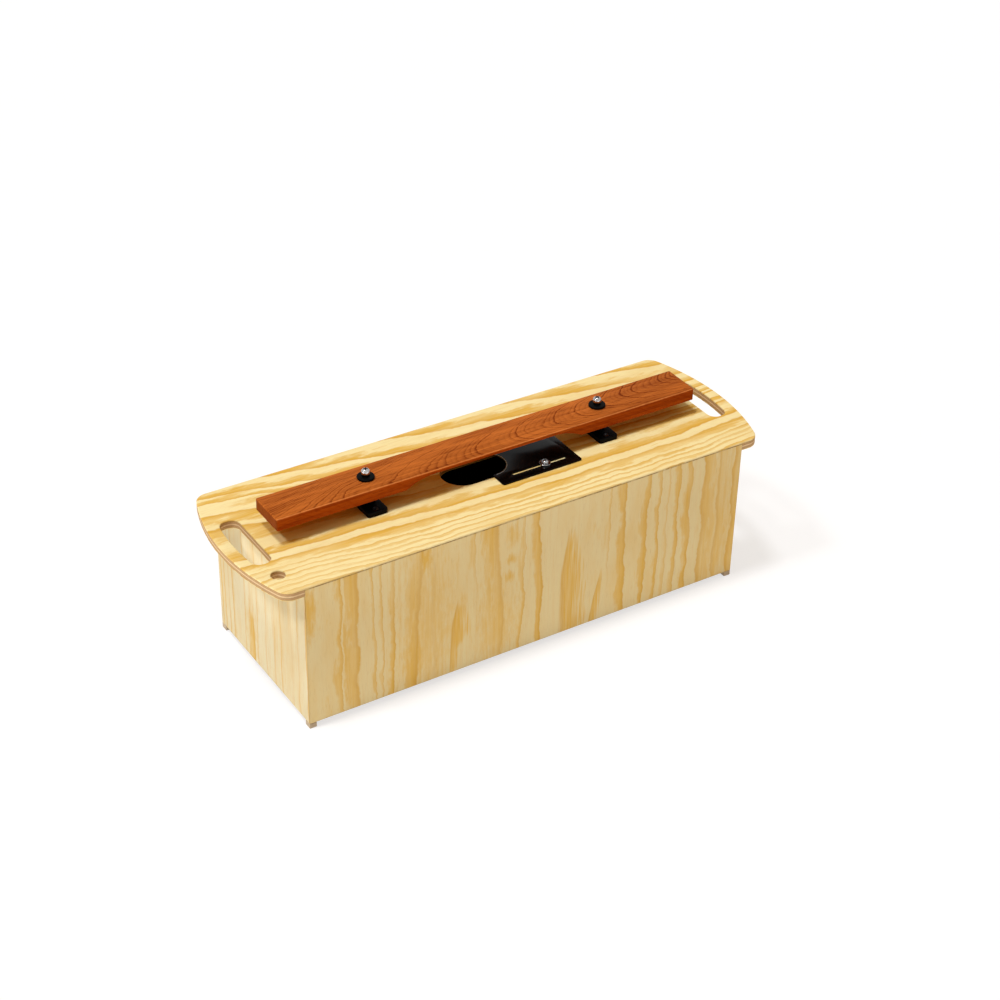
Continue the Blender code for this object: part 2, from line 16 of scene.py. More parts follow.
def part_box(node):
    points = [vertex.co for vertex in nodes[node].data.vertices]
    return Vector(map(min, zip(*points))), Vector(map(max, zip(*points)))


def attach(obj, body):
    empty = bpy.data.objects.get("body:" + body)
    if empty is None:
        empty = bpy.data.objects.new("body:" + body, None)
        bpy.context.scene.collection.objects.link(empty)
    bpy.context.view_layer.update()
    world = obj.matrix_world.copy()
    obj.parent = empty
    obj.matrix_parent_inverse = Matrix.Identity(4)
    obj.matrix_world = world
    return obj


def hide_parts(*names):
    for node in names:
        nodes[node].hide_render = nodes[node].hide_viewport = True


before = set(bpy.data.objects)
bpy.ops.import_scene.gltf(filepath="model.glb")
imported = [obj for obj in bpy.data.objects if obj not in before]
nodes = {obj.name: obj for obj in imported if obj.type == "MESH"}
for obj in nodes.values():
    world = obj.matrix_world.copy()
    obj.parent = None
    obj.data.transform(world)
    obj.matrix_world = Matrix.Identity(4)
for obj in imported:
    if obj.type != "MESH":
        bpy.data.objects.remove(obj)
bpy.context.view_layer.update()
scene = bpy.context.scene

# %% [markdown]
# ## The camera
# The photograph's camera was found from the straight edges of the box: it looks down from the left
# front corner with a long lens. A matrix built from the view direction and the frame's right and up
# directions places it exactly, with a small roll turned into them.

# %% Camera
CAMERA_PLACE = Vector((-1.298701, -2.051625, 1.764043))
CAMERA_AZIMUTH = radians(32.89)
CAMERA_ELEVATION = radians(33.27)
CAMERA_ROLL = radians(1.370)
CAMERA_LENS = 75.53
CAMERA_SHIFT = (-0.0005, 0.0002)
SENSOR = 36.0

sight = Vector((
    sin(CAMERA_AZIMUTH) * cos(CAMERA_ELEVATION),
    cos(CAMERA_AZIMUTH) * cos(CAMERA_ELEVATION),
    -sin(CAMERA_ELEVATION),
))
level_right = sight.cross(Vector((0.0, 0.0, 1.0))).normalized()
level_up = level_right.cross(sight)
frame_right = cos(CAMERA_ROLL) * level_right + sin(CAMERA_ROLL) * level_up
frame_up = frame_right.cross(sight)

camera_data = bpy.data.cameras.new("photo_camera")
camera_data.lens = CAMERA_LENS
camera_data.sensor_width = SENSOR
camera_data.sensor_fit = "HORIZONTAL"
camera_data.shift_x = CAMERA_SHIFT[0]
camera_data.shift_y = CAMERA_SHIFT[1]
camera = bpy.data.objects.new("photo_camera", camera_data)
camera_turn = Matrix((frame_right, frame_up, -sight)).transposed()
camera.matrix_world = Matrix.Translation(CAMERA_PLACE) @ camera_turn.to_4x4()
scene.collection.objects.link(camera)
scene.camera = camera
print("camera at", [round(value, 3) for value in CAMERA_PLACE])

# %% [markdown]
# ## Small helpers for node trees
# Every finish below is a tree of nodes. One function adds a node, sets its options and fills or
# links its inputs in one go. The others do sums, noise and mixes, so that each tree reads like a
# formula. They find the tree from the sockets they are given, so they work in shader trees and in
# Geometry Nodes alike.

# %% Nodes and sums
def add(tree, kind, inputs=None, **options):
    """Adds a node. An input is given by name or place, as a value or as another node's output."""
    made = tree.nodes.new(kind)
    for option, value in options.items():
        setattr(made, option, value)
    for key, value in (inputs or {}).items():
        if isinstance(value, bpy.types.NodeSocket):
            tree.links.new(value, made.inputs[key])
        else:
            made.inputs[key].default_value = value
    return made


def tree_of(values):
    """The tree that some values come from: each socket knows its own."""
    return next(value.id_data for value in values if isinstance(value, bpy.types.NodeSocket))


def reckon(operation, *terms):
    """A Math node's result."""
    return add(tree_of(terms), "ShaderNodeMath", dict(enumerate(terms)), operation=operation).outputs[0]


def gathered(operation, terms):
    """Many values put together by one operation, two at a time."""
    return reduce(lambda first, second: reckon(operation, first, second), terms)


def product(*terms):
    """Values multiplied."""
    return gathered("MULTIPLY", terms)


def total(*terms):
    """Values added up."""
    return gathered("ADD", terms)


def most(*terms):
    """The largest of some values."""
    return gathered("MAXIMUM", terms)


def minus(first, second):
    """One value less another."""
    return reckon("SUBTRACT", first, second)


def times_plus(first, second, third):
    """Two values multiplied, and a third one added."""
    return reckon("MULTIPLY_ADD", first, second, third)


def distance(aside, apart):
    """How far a point lies from the origin of a plane."""
    return reckon("SQRT", times_plus(aside, aside, product(apart, apart)))


print("helpers for sums ready")

# %% Vectors, noise and mixes
def vector_sum(operation, first, second):
    """A Vector Math node's result."""
    inputs = {0: first, 1: second}
    return add(first.id_data, "ShaderNodeVectorMath", inputs, operation=operation).outputs[0]


def sized(vector, scale):
    """A vector multiplied by three numbers, or by one."""
    if isinstance(scale, tuple):
        return vector_sum("MULTIPLY", vector, scale)
    inputs = {0: vector, "Scale": scale}
    return add(vector.id_data, "ShaderNodeVectorMath", inputs, operation="SCALE").outputs[0]


def split(vector):
    """The three parts of a vector."""
    return add(vector.id_data, "ShaderNodeSeparateXYZ", {0: vector}).outputs


def joined(*parts):
    """A vector from its three parts."""
    return add(tree_of(parts), "ShaderNodeCombineXYZ", dict(enumerate(parts))).outputs[0]


def cloud(vector, scale, detail=2.0, roughness=0.5):
    """Noise from about 0 to 1, about a half. Its scale says how often it changes in a metre."""
    inputs = {"Vector": sized(vector, scale), "Scale": 1.0, "Detail": detail, "Roughness": roughness}
    return add(vector.id_data, "ShaderNodeTexNoise", inputs).outputs[0]


def off_middle(noise, amount):
    """Noise moved to lie about 0, and multiplied."""
    return product(minus(noise, 0.5), amount)


def ramp(value, low, high, to_low=0.0, to_high=1.0, smooth=True):
    """A value carried from one range to another, and held at both ends."""
    kind = "SMOOTHSTEP" if smooth else "LINEAR"
    inputs = {0: value, 1: low, 2: high, 3: to_low, 4: to_high}
    return add(value.id_data, "ShaderNodeMapRange", inputs, interpolation_type=kind).outputs[0]


def within(value, low, high, softness):
    """1 between two values and 0 outside them."""
    above = ramp(value, low - softness, low + softness)
    below = ramp(value, high - softness, high + softness, 1.0, 0.0)
    return product(above, below)


def clamped(value):
    """A value held between 0 and 1."""
    return add(value.id_data, "ShaderNodeClamp", {0: value}).outputs[0]


def mixed(share, first, second):
    """Two colours mixed by a share."""
    inputs = {0: share, 6: first, 7: second}
    return add(share.id_data, "ShaderNodeMix", inputs, data_type="RGBA").outputs[2]


print("helpers for vectors, noise and mixes ready")

# %% Groups and materials
SOCKET_KINDS = {float: "Float", int: "Int", tuple: "Color"}
BUMP_STRENGTH = 0.5


def node_group(kind, name, inputs, outputs):
    """An empty tree with named sockets, and its inner inputs. An input without a value names its kind."""
    tree = bpy.data.node_groups.new(name, kind)
    for label, value in inputs.items():
        no_value = isinstance(value, str)
        socket_kind = "NodeSocket" + (value if no_value else SOCKET_KINDS[type(value)])
        socket = tree.interface.new_socket(label, in_out="INPUT", socket_type=socket_kind)
        if not no_value:
            socket.default_value = value
    for label, socket_kind in outputs.items():
        tree.interface.new_socket(label, in_out="OUTPUT", socket_type="NodeSocket" + socket_kind)
    return tree, tree.nodes.new("NodeGroupInput").outputs


def put_out(tree, results):
    """Ends a group: links values to its outputs."""
    add(tree, "NodeGroupOutput", results)
    print("group:", tree.name)


def place_group(shared, inputs):
    """A shared shader group placed in the tree of its inputs: its outputs."""
    return add(tree_of(inputs.values()), "ShaderNodeGroup", inputs, node_tree=shared).outputs


def new_material(name, metallic=0.0, specular=0.5):
    """A material: itself, its Principled shader, and the place on the object."""
    material = bpy.data.materials.new(name)
    material.use_nodes = True
    tree = material.node_tree
    shader = tree.nodes["Principled BSDF"]
    shader.inputs["Metallic"].default_value = metallic
    shader.inputs["Specular IOR Level"].default_value = specular
    return material, shader, add(tree, "ShaderNodeTexCoord").outputs["Object"]


def finish_with(shader, colour, roughness, height, depth):
    """Links a finish's colour and roughness to its shader, and its height as a bump of some depth."""
    tree = shader.id_data
    tree.links.new(colour, shader.inputs["Base Color"])
    tree.links.new(roughness, shader.inputs["Roughness"])
    bump = add(tree, "ShaderNodeBump", {"Height": height, "Distance": depth, "Strength": BUMP_STRENGTH})
    tree.links.new(bump.outputs[0], shader.inputs["Normal"])


print("helpers for groups and materials ready")

# %% [markdown]
# ## Background and floor
# The background is white because the world and the floor say so to the camera alone, which keeps the
# object itself at a plain light level. The room's own light is stronger from above than from eye level,
# and warm low down, as light is that comes back from pale wood.

# %% Sky
SKY_LOW = 0.06
SKY_HIGH = 0.60
SKY_LOW_TINT = (1.0, 0.55, 0.15, 1.0)
SKY_HIGH_TINT = (1.0, 1.0, 1.0, 1.0)
SKY_TINT_FALL = 6.0


def seen_directly(tree):
    """1 for what the camera sees, also in a mirror or through glass, and 0 for light on its way."""
    path = add(tree, "ShaderNodeLightPath").outputs
    return most(path["Is Camera Ray"], path["Is Glossy Ray"], path["Is Transmission Ray"])


scene.view_settings.view_transform = "Standard"
world = bpy.data.worlds.new("studio")
scene.world = world
world.use_nodes = True
tree = world.node_tree
sky = tree.nodes["Background"]
upward = split(add(tree, "ShaderNodeTexCoord").outputs["Generated"])[2]
light = ramp(upward, 0.0, 1.0, SKY_LOW, SKY_HIGH, smooth=False)
direct = seen_directly(tree)
whiter = reckon("POWER", most(upward, 0.0), SKY_TINT_FALL)
tint = mixed(most(whiter, direct), SKY_LOW_TINT, SKY_HIGH_TINT)
tree.links.new(tint, sky.inputs["Color"])
tree.links.new(most(light, direct), sky.inputs["Strength"])
print("sky from", SKY_LOW, "to", SKY_HIGH)

# %% Floor
FLOOR_SIDE = 30.0
FLOOR_SHADE = (0.80, 0.80, 0.80, 1.0)
FLOOR_SEEN = (0.330, 0.343, 0.365, 1.0)
FLOOR_LIFT = 0.690


def rectangle(half_x, half_y):
    """The corners of a rectangle about the origin."""
    return [(-half_x, -half_y), (half_x, -half_y), (half_x, half_y), (-half_x, half_y)]


floor_mesh = bpy.data.meshes.new("floor")
floor_corners = [(x, y, 0.0) for x, y in rectangle(FLOOR_SIDE / 2, FLOOR_SIDE / 2)]
floor_mesh.from_pydata(floor_corners, [], [(0, 1, 2, 3)])
floor = bpy.data.objects.new("floor", floor_mesh)
scene.collection.objects.link(floor)

floor_paper = bpy.data.materials.new("floor_paper")
floor_paper.use_nodes = True
tree = floor_paper.node_tree
tree.nodes.clear()
direct = seen_directly(tree)
matt = add(tree, "ShaderNodeBsdfDiffuse", {"Color": mixed(direct, FLOOR_SHADE, FLOOR_SEEN)})
glow = add(tree, "ShaderNodeEmission", {"Strength": product(direct, FLOOR_LIFT)})
both = add(tree, "ShaderNodeAddShader", {0: matt.outputs[0], 1: glow.outputs[0]})
add(tree, "ShaderNodeOutputMaterial", {"Surface": both.outputs[0]})
floor_mesh.materials.append(floor_paper)
print("floor:", FLOOR_SIDE, "m wide")

# %% [markdown]
# ## Lamps
# The shadows tell where the lamps are. Under the bar the shade is deep and short, so the key lamp
# stands almost overhead. On the floor a pale shadow reaches to the right, so a weaker side lamp stands
# to the left, slightly behind. Two low strips at floor level fill the left and the front wall without
# reaching under the bar.

# %% Lamps
Lamp = namedtuple("Lamp", "name run level width")
Strip = namedtuple("Strip", "name place facing length power")
LAMPS = (
    Lamp("key_lamp", Vector((0.25, -0.04, -1.0)), 0.42, radians(9.0)),
    Lamp("side_lamp", Vector((0.694, -0.093, -1.0)), 0.25, radians(8.0)),
)
STRIPS = (
    Strip("left_strip", Vector((-3.0, -0.3, 0.1)), Vector((1.0, 0.0, 0.0)), 3.0, 22.0),
    Strip("front_strip", Vector((0.0, -3.2, 0.1)), Vector((0.0, 1.0, 0.0)), 4.0, 18.0),
)
STRIP_HEIGHT = 0.2


def place_lamp(data, run, location=(0.0, 0.0, 0.0)):
    """Puts a lamp in the scene, turned so that its light runs in a direction."""
    lamp = bpy.data.objects.new(data.name, data)
    lamp.location = location
    lamp.rotation_euler = run.to_track_quat("-Z", "Y").to_euler()
    scene.collection.objects.link(lamp)


for item in LAMPS:
    data = bpy.data.lights.new(item.name, "SUN")
    data.energy = item.level * pi * item.run.length
    data.angle = item.width
    place_lamp(data, item.run)
for item in STRIPS:
    data = bpy.data.lights.new(item.name, "AREA")
    data.shape = "RECTANGLE"
    data.size = item.length
    data.size_y = STRIP_HEIGHT
    data.energy = item.power
    place_lamp(data, item.facing, item.place)
print("lamps:", ", ".join(item.name for item in LAMPS + STRIPS))

# %% [markdown]
# ## Wood, from its growth rings
# Pine veneer is peeled from a log like paper from a roll, so the knife runs in and out of the growth
# rings and leaves long pale bands of spring wood beside honey bands of summer wood. Each band darkens
# slowly on one side and stops sharply on the other. A ring phase that counts up across the sheet gives
# just that: its fraction is the place within one ring. The first group turns a phase into a band, and
# the second adds the fibres that run along the grain of any wood.

# %% Growth ring group
RING_STOP = (0.93, 0.997)
RING_LINE = (0.78, 0.94)
BAND_AT_START = 0.70

rings, given = node_group(
    "ShaderNodeTree",
    "Growth ring",
    {"Phase": 0.0, "Start": 0.5, "Softness": 0.1},
    {"Band": "Float", "Line": "Float"},
)
share = reckon("FRACT", given["Phase"])
rise = ramp(share, given["Start"], total(given["Start"], given["Softness"]))
fall = ramp(share, *RING_STOP, 1.0, 0.0)
deeper = ramp(share, given["Start"], 1.0, BAND_AT_START, 1.0, smooth=False)
line = ramp(share, *RING_LINE)
put_out(rings, {"Band": product(rise, fall, deeper), "Line": product(line, fall)})

# %% Fibre group
WIDE_STREAKS = 0.6
THIN_STREAKS = 0.4
PORE_SINK = -0.5

fibres, given = node_group(
    "ShaderNodeTree",
    "Fibres",
    {"Grain": "Vector", "Fineness": 1.0},
    {"Streaks": "Float", "Pores": "Float", "Height": "Float"},
)
fine = sized(given["Grain"], given["Fineness"])
wide = cloud(fine, (240.0, 8.0, 240.0), 3.0, 0.6)
thin = cloud(fine, (900.0, 20.0, 900.0), 2.0, 0.6)
streaks = times_plus(wide, WIDE_STREAKS, product(thin, THIN_STREAKS))
pores = ramp(cloud(fine, (1500.0, 60.0, 1500.0), 1.0, 0.5), 0.62, 0.74)
height = times_plus(pores, PORE_SINK, streaks)
put_out(fibres, {"Streaks": streaks, "Pores": pores, "Height": height})

# %% [markdown]
# ## Flames and blushes
# Where the knife just touches a ring, the band ends in a flame: a tall pointed leaf with one straight
# sharp side and one feathered side. Its width grows with the root of the distance below its tip, which
# makes the rounded point, and it fades out at the end of its length. A pinch narrows it below its
# belly to a stem. A blush is a soft round patch of warmer wood, as around a small knot.

# %% Flame group
FLAME_BELLY = 0.36
FLAME_STEM = 0.60

flame, given = node_group(
    "ShaderNodeTree",
    "Flame",
    {"Grain": "Vector", "Side": 0.0, "Tip": 0.1, "Width": 0.04, "Length": 0.2, "Lean": 0.0, "Pinch": 0.0},
    {"Band": "Float", "Line": "Float"},
)
parts = split(given["Grain"])
fallen = reckon("DIVIDE", minus(given["Tip"], parts[1]), given["Length"])
pointed = reckon("SQRT", most(fallen, 0.001))
narrower = ramp(fallen, FLAME_STEM, 1.10, 1.0, 0.50)
pinched = ramp(fallen, FLAME_BELLY, FLAME_STEM, 1.0, minus(1.0, given["Pinch"]))
spread = product(given["Width"], pointed, narrower, pinched)
leaning = times_plus(fallen, given["Lean"], parts[0])
tip_shift = product(given["Width"], ramp(fallen, 0.0, FLAME_BELLY, 0.17, 0.0))
from_side = minus(minus(leaning, tip_shift), given["Side"])
inward = reckon("DIVIDE", from_side, spread)
waver = cloud(given["Grain"], (150.0, 16.0, 150.0), 2.0, 0.55)
feathers = cloud(given["Grain"], (520.0, 16.0, 520.0), 2.0, 0.6)
ragged = total(inward, off_middle(waver, 1.1), off_middle(feathers, 1.2))
sharp_side = ramp(total(inward, off_middle(waver, 0.12)), -0.04, 0.10)
ragged_side = ramp(ragged, 0.55, 1.10, 1.0, 0.0)
tip_fade = ramp(total(fallen, off_middle(feathers, 0.35)), -0.02, 0.16)
ends = product(tip_fade, ramp(fallen, 0.70, 1.1, 1.0, 0.0))
feathered = ramp(feathers, 0.36, 0.58, 1.0, 0.68)
leaf = product(sharp_side, ragged_side, ends, feathered)
line = product(leaf, ramp(inward, 0.04, 0.26, 1.0, 0.0))
put_out(flame, {"Band": leaf, "Line": line})

# %% Blush group
blush, given = node_group(
    "ShaderNodeTree",
    "Blush",
    {"Grain": "Vector", "Across": 0.0, "Along": 0.1, "Half_width": 0.01, "Half_length": 0.03, "Depth": 0.3},
    {"Band": "Float"},
)
parts = split(given["Grain"])
aside = reckon("DIVIDE", minus(parts[0], given["Across"]), given["Half_width"])
apart = reckon("DIVIDE", minus(parts[1], given["Along"]), given["Half_length"])
waver = cloud(given["Grain"], (190.0, 55.0, 190.0), 4.0, 0.65)
away = total(distance(aside, apart), off_middle(waver, 1.8))
put_out(blush, {"Band": ramp(away, 0.0, 1.2, given["Depth"], 0.0)})

# %% [markdown]
# ## Pine veneer
# Rings, flames and fibres meet in one group: cream wood, honey bands with a darker line on their sharp
# side, warm patches, and a little more gloss where the summer wood is dense. Its Grain input is the
# place across, along and into the sheet in metres.

# %% Pine veneer group
CREAM = (0.905, 0.815, 0.460, 1.0)
HONEY = (0.740, 0.470, 0.087, 1.0)
LINE_SHADE = (0.80, 0.66, 0.50)
PORE_BROWN = (0.470, 0.290, 0.100, 1.0)
RING_LINE_DEPTH = 0.38
FLAME_LINE_DEPTH = 0.40
PINE_PORE_DEPTH = 0.20
PALE_ROUGHNESS = 0.60
HONEY_ROUGHNESS = 0.46
BAND_SWELL = 0.35

pine, given = node_group(
    "ShaderNodeTree",
    "Pine veneer",
    {
        "Grain": "Vector",
        "Phase": 0.0,
        "Strength": 1.0,
        "Flames": 0.0,
        "Flame Lines": 0.0,
        "Raggedness": 0.4,
        "Pale": CREAM,
        "Honey": HONEY,
    },
    {"Color": "Color", "Roughness": "Float", "Height": "Float"},
)
fibre = place_group(fibres, {"Grain": given["Grain"], "Fineness": 1.0})
drips = cloud(given["Grain"], (95.0, 20.0, 95.0), 4.0, 0.62)
start = times_plus(minus(drips, 0.5), given["Raggedness"], 0.34)
start = total(start, off_middle(fibre["Streaks"], 0.45))
ring = place_group(rings, {"Phase": given["Phase"], "Start": start, "Softness": 0.34})
uneven = cloud(given["Grain"], (40.0, 5.0, 40.0), 2.0, 0.5)
strength = product(given["Strength"], ramp(uneven, 0.25, 0.60, 0.55, 1.0))
band = most(product(ring["Band"], strength), given["Flames"])
ring_line = product(ring["Line"], product(strength, RING_LINE_DEPTH))
line = most(ring_line, product(given["Flame Lines"], FLAME_LINE_DEPTH))
streaky = ramp(fibre["Streaks"], 0.36, 0.64, -0.16, 0.22, smooth=False)
patches = cloud(given["Grain"], (26.0, 6.0, 26.0), 4.0, 0.6)
band = clamped(total(band, streaky))
band = most(band, ramp(patches, 0.42, 0.72, 0.0, 0.34))
body = mixed(band, given["Pale"], given["Honey"])
body = mixed(line, body, sized(given["Honey"], LINE_SHADE))
body = mixed(product(fibre["Pores"], PINE_PORE_DEPTH), body, PORE_BROWN)
put_out(pine, {
    "Color": body,
    "Roughness": ramp(band, 0.0, 1.0, PALE_ROUGHNESS, HONEY_ROUGHNESS, smooth=False),
    "Height": times_plus(band, BAND_SWELL, fibre["Height"]),
})

# %% [markdown]
# ## Plies, and edges
# Where a sheet is cut, its plies show: face veneer on both sides, and layers between them that run
# across or along, with a dark glue line at each joint. The colour only needs the distance through the
# sheet, so it is right at the curved ends, in the hand slots and in the holes. The second group finds
# the edges of a square piece: there a point lies close to two of its faces, so the second smallest of
# its three distances is small. The sheets use it for wear, and the bar for a painted highlight.

# %% Ply group
FACE_PLY = 0.15
PLY_JOINTS = (FACE_PLY, 0.38, 0.62, 1.0 - FACE_PLY)
PLY_WAVE = 0.03
CROSS_PLY = ((0.47, 0.28, 0.135, 1.0), (0.69, 0.48, 0.260, 1.0))
LONG_PLY = ((0.68, 0.48, 0.260, 1.0), (0.86, 0.70, 0.450, 1.0))
GLUE = (0.25, 0.115, 0.045, 1.0)
GLUE_LINE = (0.010, 0.026)
GLUE_DEPTH = 0.7

plies, given = node_group(
    "ShaderNodeTree",
    "Plies",
    {"Place": "Vector", "Face Color": CREAM, "Through": 0.0},
    {"Color": "Color", "Height": "Float"},
)
wave = off_middle(cloud(given["Place"], 35.0, 1.0), PLY_WAVE)
depth = total(given["Through"], wave)
end_grain = cloud(given["Place"], (420.0, 420.0, 700.0), 3.0, 0.65)
cross = mixed(end_grain, *CROSS_PLY)
core = mixed(end_grain, *LONG_PLY)
inner = mixed(within(depth, PLY_JOINTS[1], PLY_JOINTS[2], 0.01), cross, core)
inside = within(depth, PLY_JOINTS[0], PLY_JOINTS[3], 0.012)
glue = 0.0
for joint in PLY_JOINTS:
    away = reckon("ABSOLUTE", minus(depth, joint))
    glue = most(ramp(away, *GLUE_LINE, 1.0, 0.0), glue)
body = mixed(inside, given["Face Color"], inner)
body = mixed(product(glue, GLUE_DEPTH), body, GLUE)
put_out(plies, {"Color": body, "Height": minus(product(end_grain, inside), glue)})

# %% Edge group, for wear and for a painted highlight
FULL_WEAR_OR_HIGHLIGHT = 0.25

edges, given = node_group(
    "ShaderNodeTree",
    "Worn edges",
    {"Place": "Vector", "Low": "Vector", "High": "Vector", "Reach": 0.002, "Break": 1.4},
    {"Wear": "Float"},
)
from_low = vector_sum("SUBTRACT", given["Place"], given["Low"])
from_high = vector_sum("SUBTRACT", given["High"], given["Place"])
parts = split(vector_sum("MINIMUM", from_low, from_high))
largest = most(*parts)
smallest = gathered("MINIMUM", parts)
second = minus(minus(total(*parts), largest), smallest)
broken = off_middle(cloud(given["Place"], 260.0, 3.0, 0.6), given["Break"])
second = times_plus(broken, given["Reach"], second)
full = product(given["Reach"], FULL_WEAR_OR_HIGHLIGHT)
put_out(edges, {"Wear": ramp(second, full, given["Reach"], 1.0, 0.0)})

# %% [markdown]
# ## From a list of bands to a sheet
# Each sheet has its own run of rings. A short list says where the bands lie across the sheet, in
# millimetres, on which side each one is sharp, how strong it is at the low and at the high end of the
# grain, and how far its low end leans. Float Curves turn the list into a phase, a strength and a lean,
# and slow noise lets the bands wander.

# %% Reading the bands
Band = namedtuple("Band", "start end sharp low high lean", defaults=("high", 1.0, 1.0, 0.0))
Flame = namedtuple("Flame", "side tip width length lean pinch", defaults=(0.0, 0.0))
Blush = namedtuple("Blush", "across along half_width half_length depth")
MM = 0.001


def phase_points(bands):
    """The ring phase at places across a sheet, with a dip where the rings turn back."""
    points = []
    ring = 0
    before = None
    for band in bands:
        if before and before.sharp != band.sharp:
            points.append(((before.end + band.start) / 2, ring + (0.25 if band.sharp == "low" else 0.2)))
        if band.sharp == "high":
            points += [(band.start, ring + 0.5), (band.end, ring + 1.0)]
            ring += 1
        else:
            points += [(band.start, ring + 0.0), (band.end, ring - 0.5)]
            ring -= 1
        before = band
    return points


def held(bands, field):
    """A field of the bands as curve points, the same at both sides of each band."""
    return [(place, getattr(band, field)) for band in bands for place in (band.start, band.end)]


def turned_over(bands):
    """The bands of a sheet that is seen from its other side."""
    other = {"high": "low", "low": "high"}
    return [
        band._replace(start=-band.end, end=-band.start, sharp=other[band.sharp])
        for band in reversed(bands)
    ]


def curve_of(value, points):
    """A Float Curve with straight runs through points, from millimetres to plain values."""
    low, high = points[0][0], points[-1][0]
    least = min(level for _, level in points)
    span = max(level for _, level in points) - least or 1.0
    scaled = ramp(value, low * MM, high * MM, smooth=False)
    made = add(value.id_data, "ShaderNodeFloatCurve", {"Value": scaled})
    curve = made.mapping.curves[0]
    spots = [((place - low) / (high - low), (level - least) / span) for place, level in points]
    curve.points[0].location = spots[0]
    curve.points[1].location = spots[-1]
    for spot in spots[1:-1]:
        curve.points.new(*spot)
    for point in curve.points:
        point.handle_type = "VECTOR"
    made.mapping.update()
    return times_plus(made.outputs[0], span, least)


print("lists of bands can be read")

# %% [markdown]
# ## The plywood finish
# One function makes the finish of any sheet: it counts the rings, lays flames and blushes over them,
# shows the plies where the sheet is cut, and darkens the edges a little with wear. An upright sheet
# also gets a thin line of painted shade under the plate's lip, broken up by noise, and the inside of
# the box is painted dark as shade, so that the sound hole reads black.

# %% Plywood finish
PLY_SPECULAR = 0.01
PLY_BUMP = 0.00012
EDGE_REACH = 0.0022
EDGE_WEAR = 0.20
EDGE_BROWN = (0.52, 0.36, 0.17, 1.0)
SEAM_PAINTED_SHADE = (0.26, 0.13, 0.045, 1.0)
SEAM_START = 0.0011
SEAM_FULL = 0.0006
INSIDE_PAINTED_SHADE = (0.012, 0.009, 0.007, 1.0)
INSIDE_SHADE_SHARE = (0.955, 0.975)
Sheet = namedtuple(
    "Sheet",
    "name node axes outside bands wander pale honey flames blushes ragged strong bend stained",
    defaults=(HONEY, (), (), 0.6, 1.0, None, True),
)


def ring_phase(sheet, grain, parts, run):
    """A sheet's ring phase and the strength of its bands."""
    across, along = parts
    moved = sheet.bend(across, along) if sheet.bend else across
    amount, scale = sheet.wander
    moved = total(moved, off_middle(cloud(grain, scale, 4.0, 0.6), amount))
    lean = product(curve_of(moved, held(sheet.bands, "lean")), MM)
    moved = minus(moved, product(lean, minus(1.0, run)))
    low_end = curve_of(moved, held(sheet.bands, "low"))
    high_end = curve_of(moved, held(sheet.bands, "high"))
    strength = times_plus(run, minus(high_end, low_end), low_end)
    return curve_of(moved, phase_points(sheet.bands)), product(strength, sheet.strong)


def in_metres(item):
    """A flame or blush as group inputs: its lengths from millimetres, its last field as it is."""
    sizes = {field.capitalize(): value * MM for field, value in item._asdict().items()}
    sizes[item._fields[-1].capitalize()] = item[-1]
    return sizes


def flames_and_blushes(sheet, grain):
    """How strongly a sheet's flames and blushes show, and the dark lines of its flames."""
    leaves = 0.0
    lines = 0.0
    for item in sheet.flames:
        leaf = place_group(flame, {"Grain": grain, **in_metres(item)})
        leaves = most(leaf["Band"], leaves)
        lines = most(leaf["Line"], lines)
    for item in sheet.blushes:
        patch = place_group(blush, {"Grain": grain, **in_metres(item)})
        leaves = most(patch["Band"], leaves)
    return leaves, lines


def plywood(sheet):
    """A sheet's finish. Its axes name the directions across, along and through it."""
    material, shader, place = new_material(sheet.name, specular=PLY_SPECULAR)
    low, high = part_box(sheet.node)
    across_axis, along_axis, through_axis = ("XYZ".index(axis) for axis in sheet.axes)
    parts = split(place)
    across, along, through = parts[across_axis], parts[along_axis], parts[through_axis]
    grain = joined(across, along, through)
    run = ramp(along, low[along_axis], high[along_axis], smooth=False)
    phase, strength = ring_phase(sheet, grain, (across, along), run)
    leaves, lines = flames_and_blushes(sheet, grain)
    veneer = place_group(pine, {
        "Grain": grain,
        "Phase": phase,
        "Strength": strength,
        "Flames": leaves,
        "Flame Lines": lines,
        "Raggedness": sheet.ragged,
        "Pale": sheet.pale,
        "Honey": sheet.honey,
    })
    outer, inner = (high, low) if sheet.outside == "high" else (low, high)
    depth = ramp(through, outer[through_axis], inner[through_axis], smooth=False)
    ply = place_group(plies, {"Place": place, "Face Color": veneer["Color"], "Through": depth})
    wear_or_highlight = place_group(edges, {"Place": place, "Low": low, "High": high, "Reach": EDGE_REACH})
    colour = mixed(product(wear_or_highlight["Wear"], EDGE_WEAR), ply["Color"], EDGE_BROWN)
    # Painted shade: a thin dark line along the top of an upright sheet, under the plate's lip.
    if sheet.axes[1] == "Z":
        under_plate = ramp(along, high.z - SEAM_START, high.z - SEAM_FULL)
        broken = ramp(cloud(place, (60.0, 60.0, 0.0), 3.0, 0.6), 0.38, 0.60, 0.15, 0.85)
        colour = mixed(product(under_plate, broken), colour, SEAM_PAINTED_SHADE)
    # Painted shade: the inner face of a sheet is darkened, as the shade inside the closed box.
    if sheet.stained:
        colour = mixed(ramp(depth, *INSIDE_SHADE_SHARE), colour, INSIDE_PAINTED_SHADE)
    height = total(veneer["Height"], ply["Height"])
    finish_with(shader, colour, veneer["Roughness"], height, PLY_BUMP)
    return material


print("sheets are described by", len(Sheet._fields), "values")

# %% [markdown]
# ## Where the bands lie
# The lists follow the figure that the photograph shows on the top, the front and the left side. The
# other sheets aren't seen, so they take the same bands, turned over on the back and on the right, and
# wander differently.

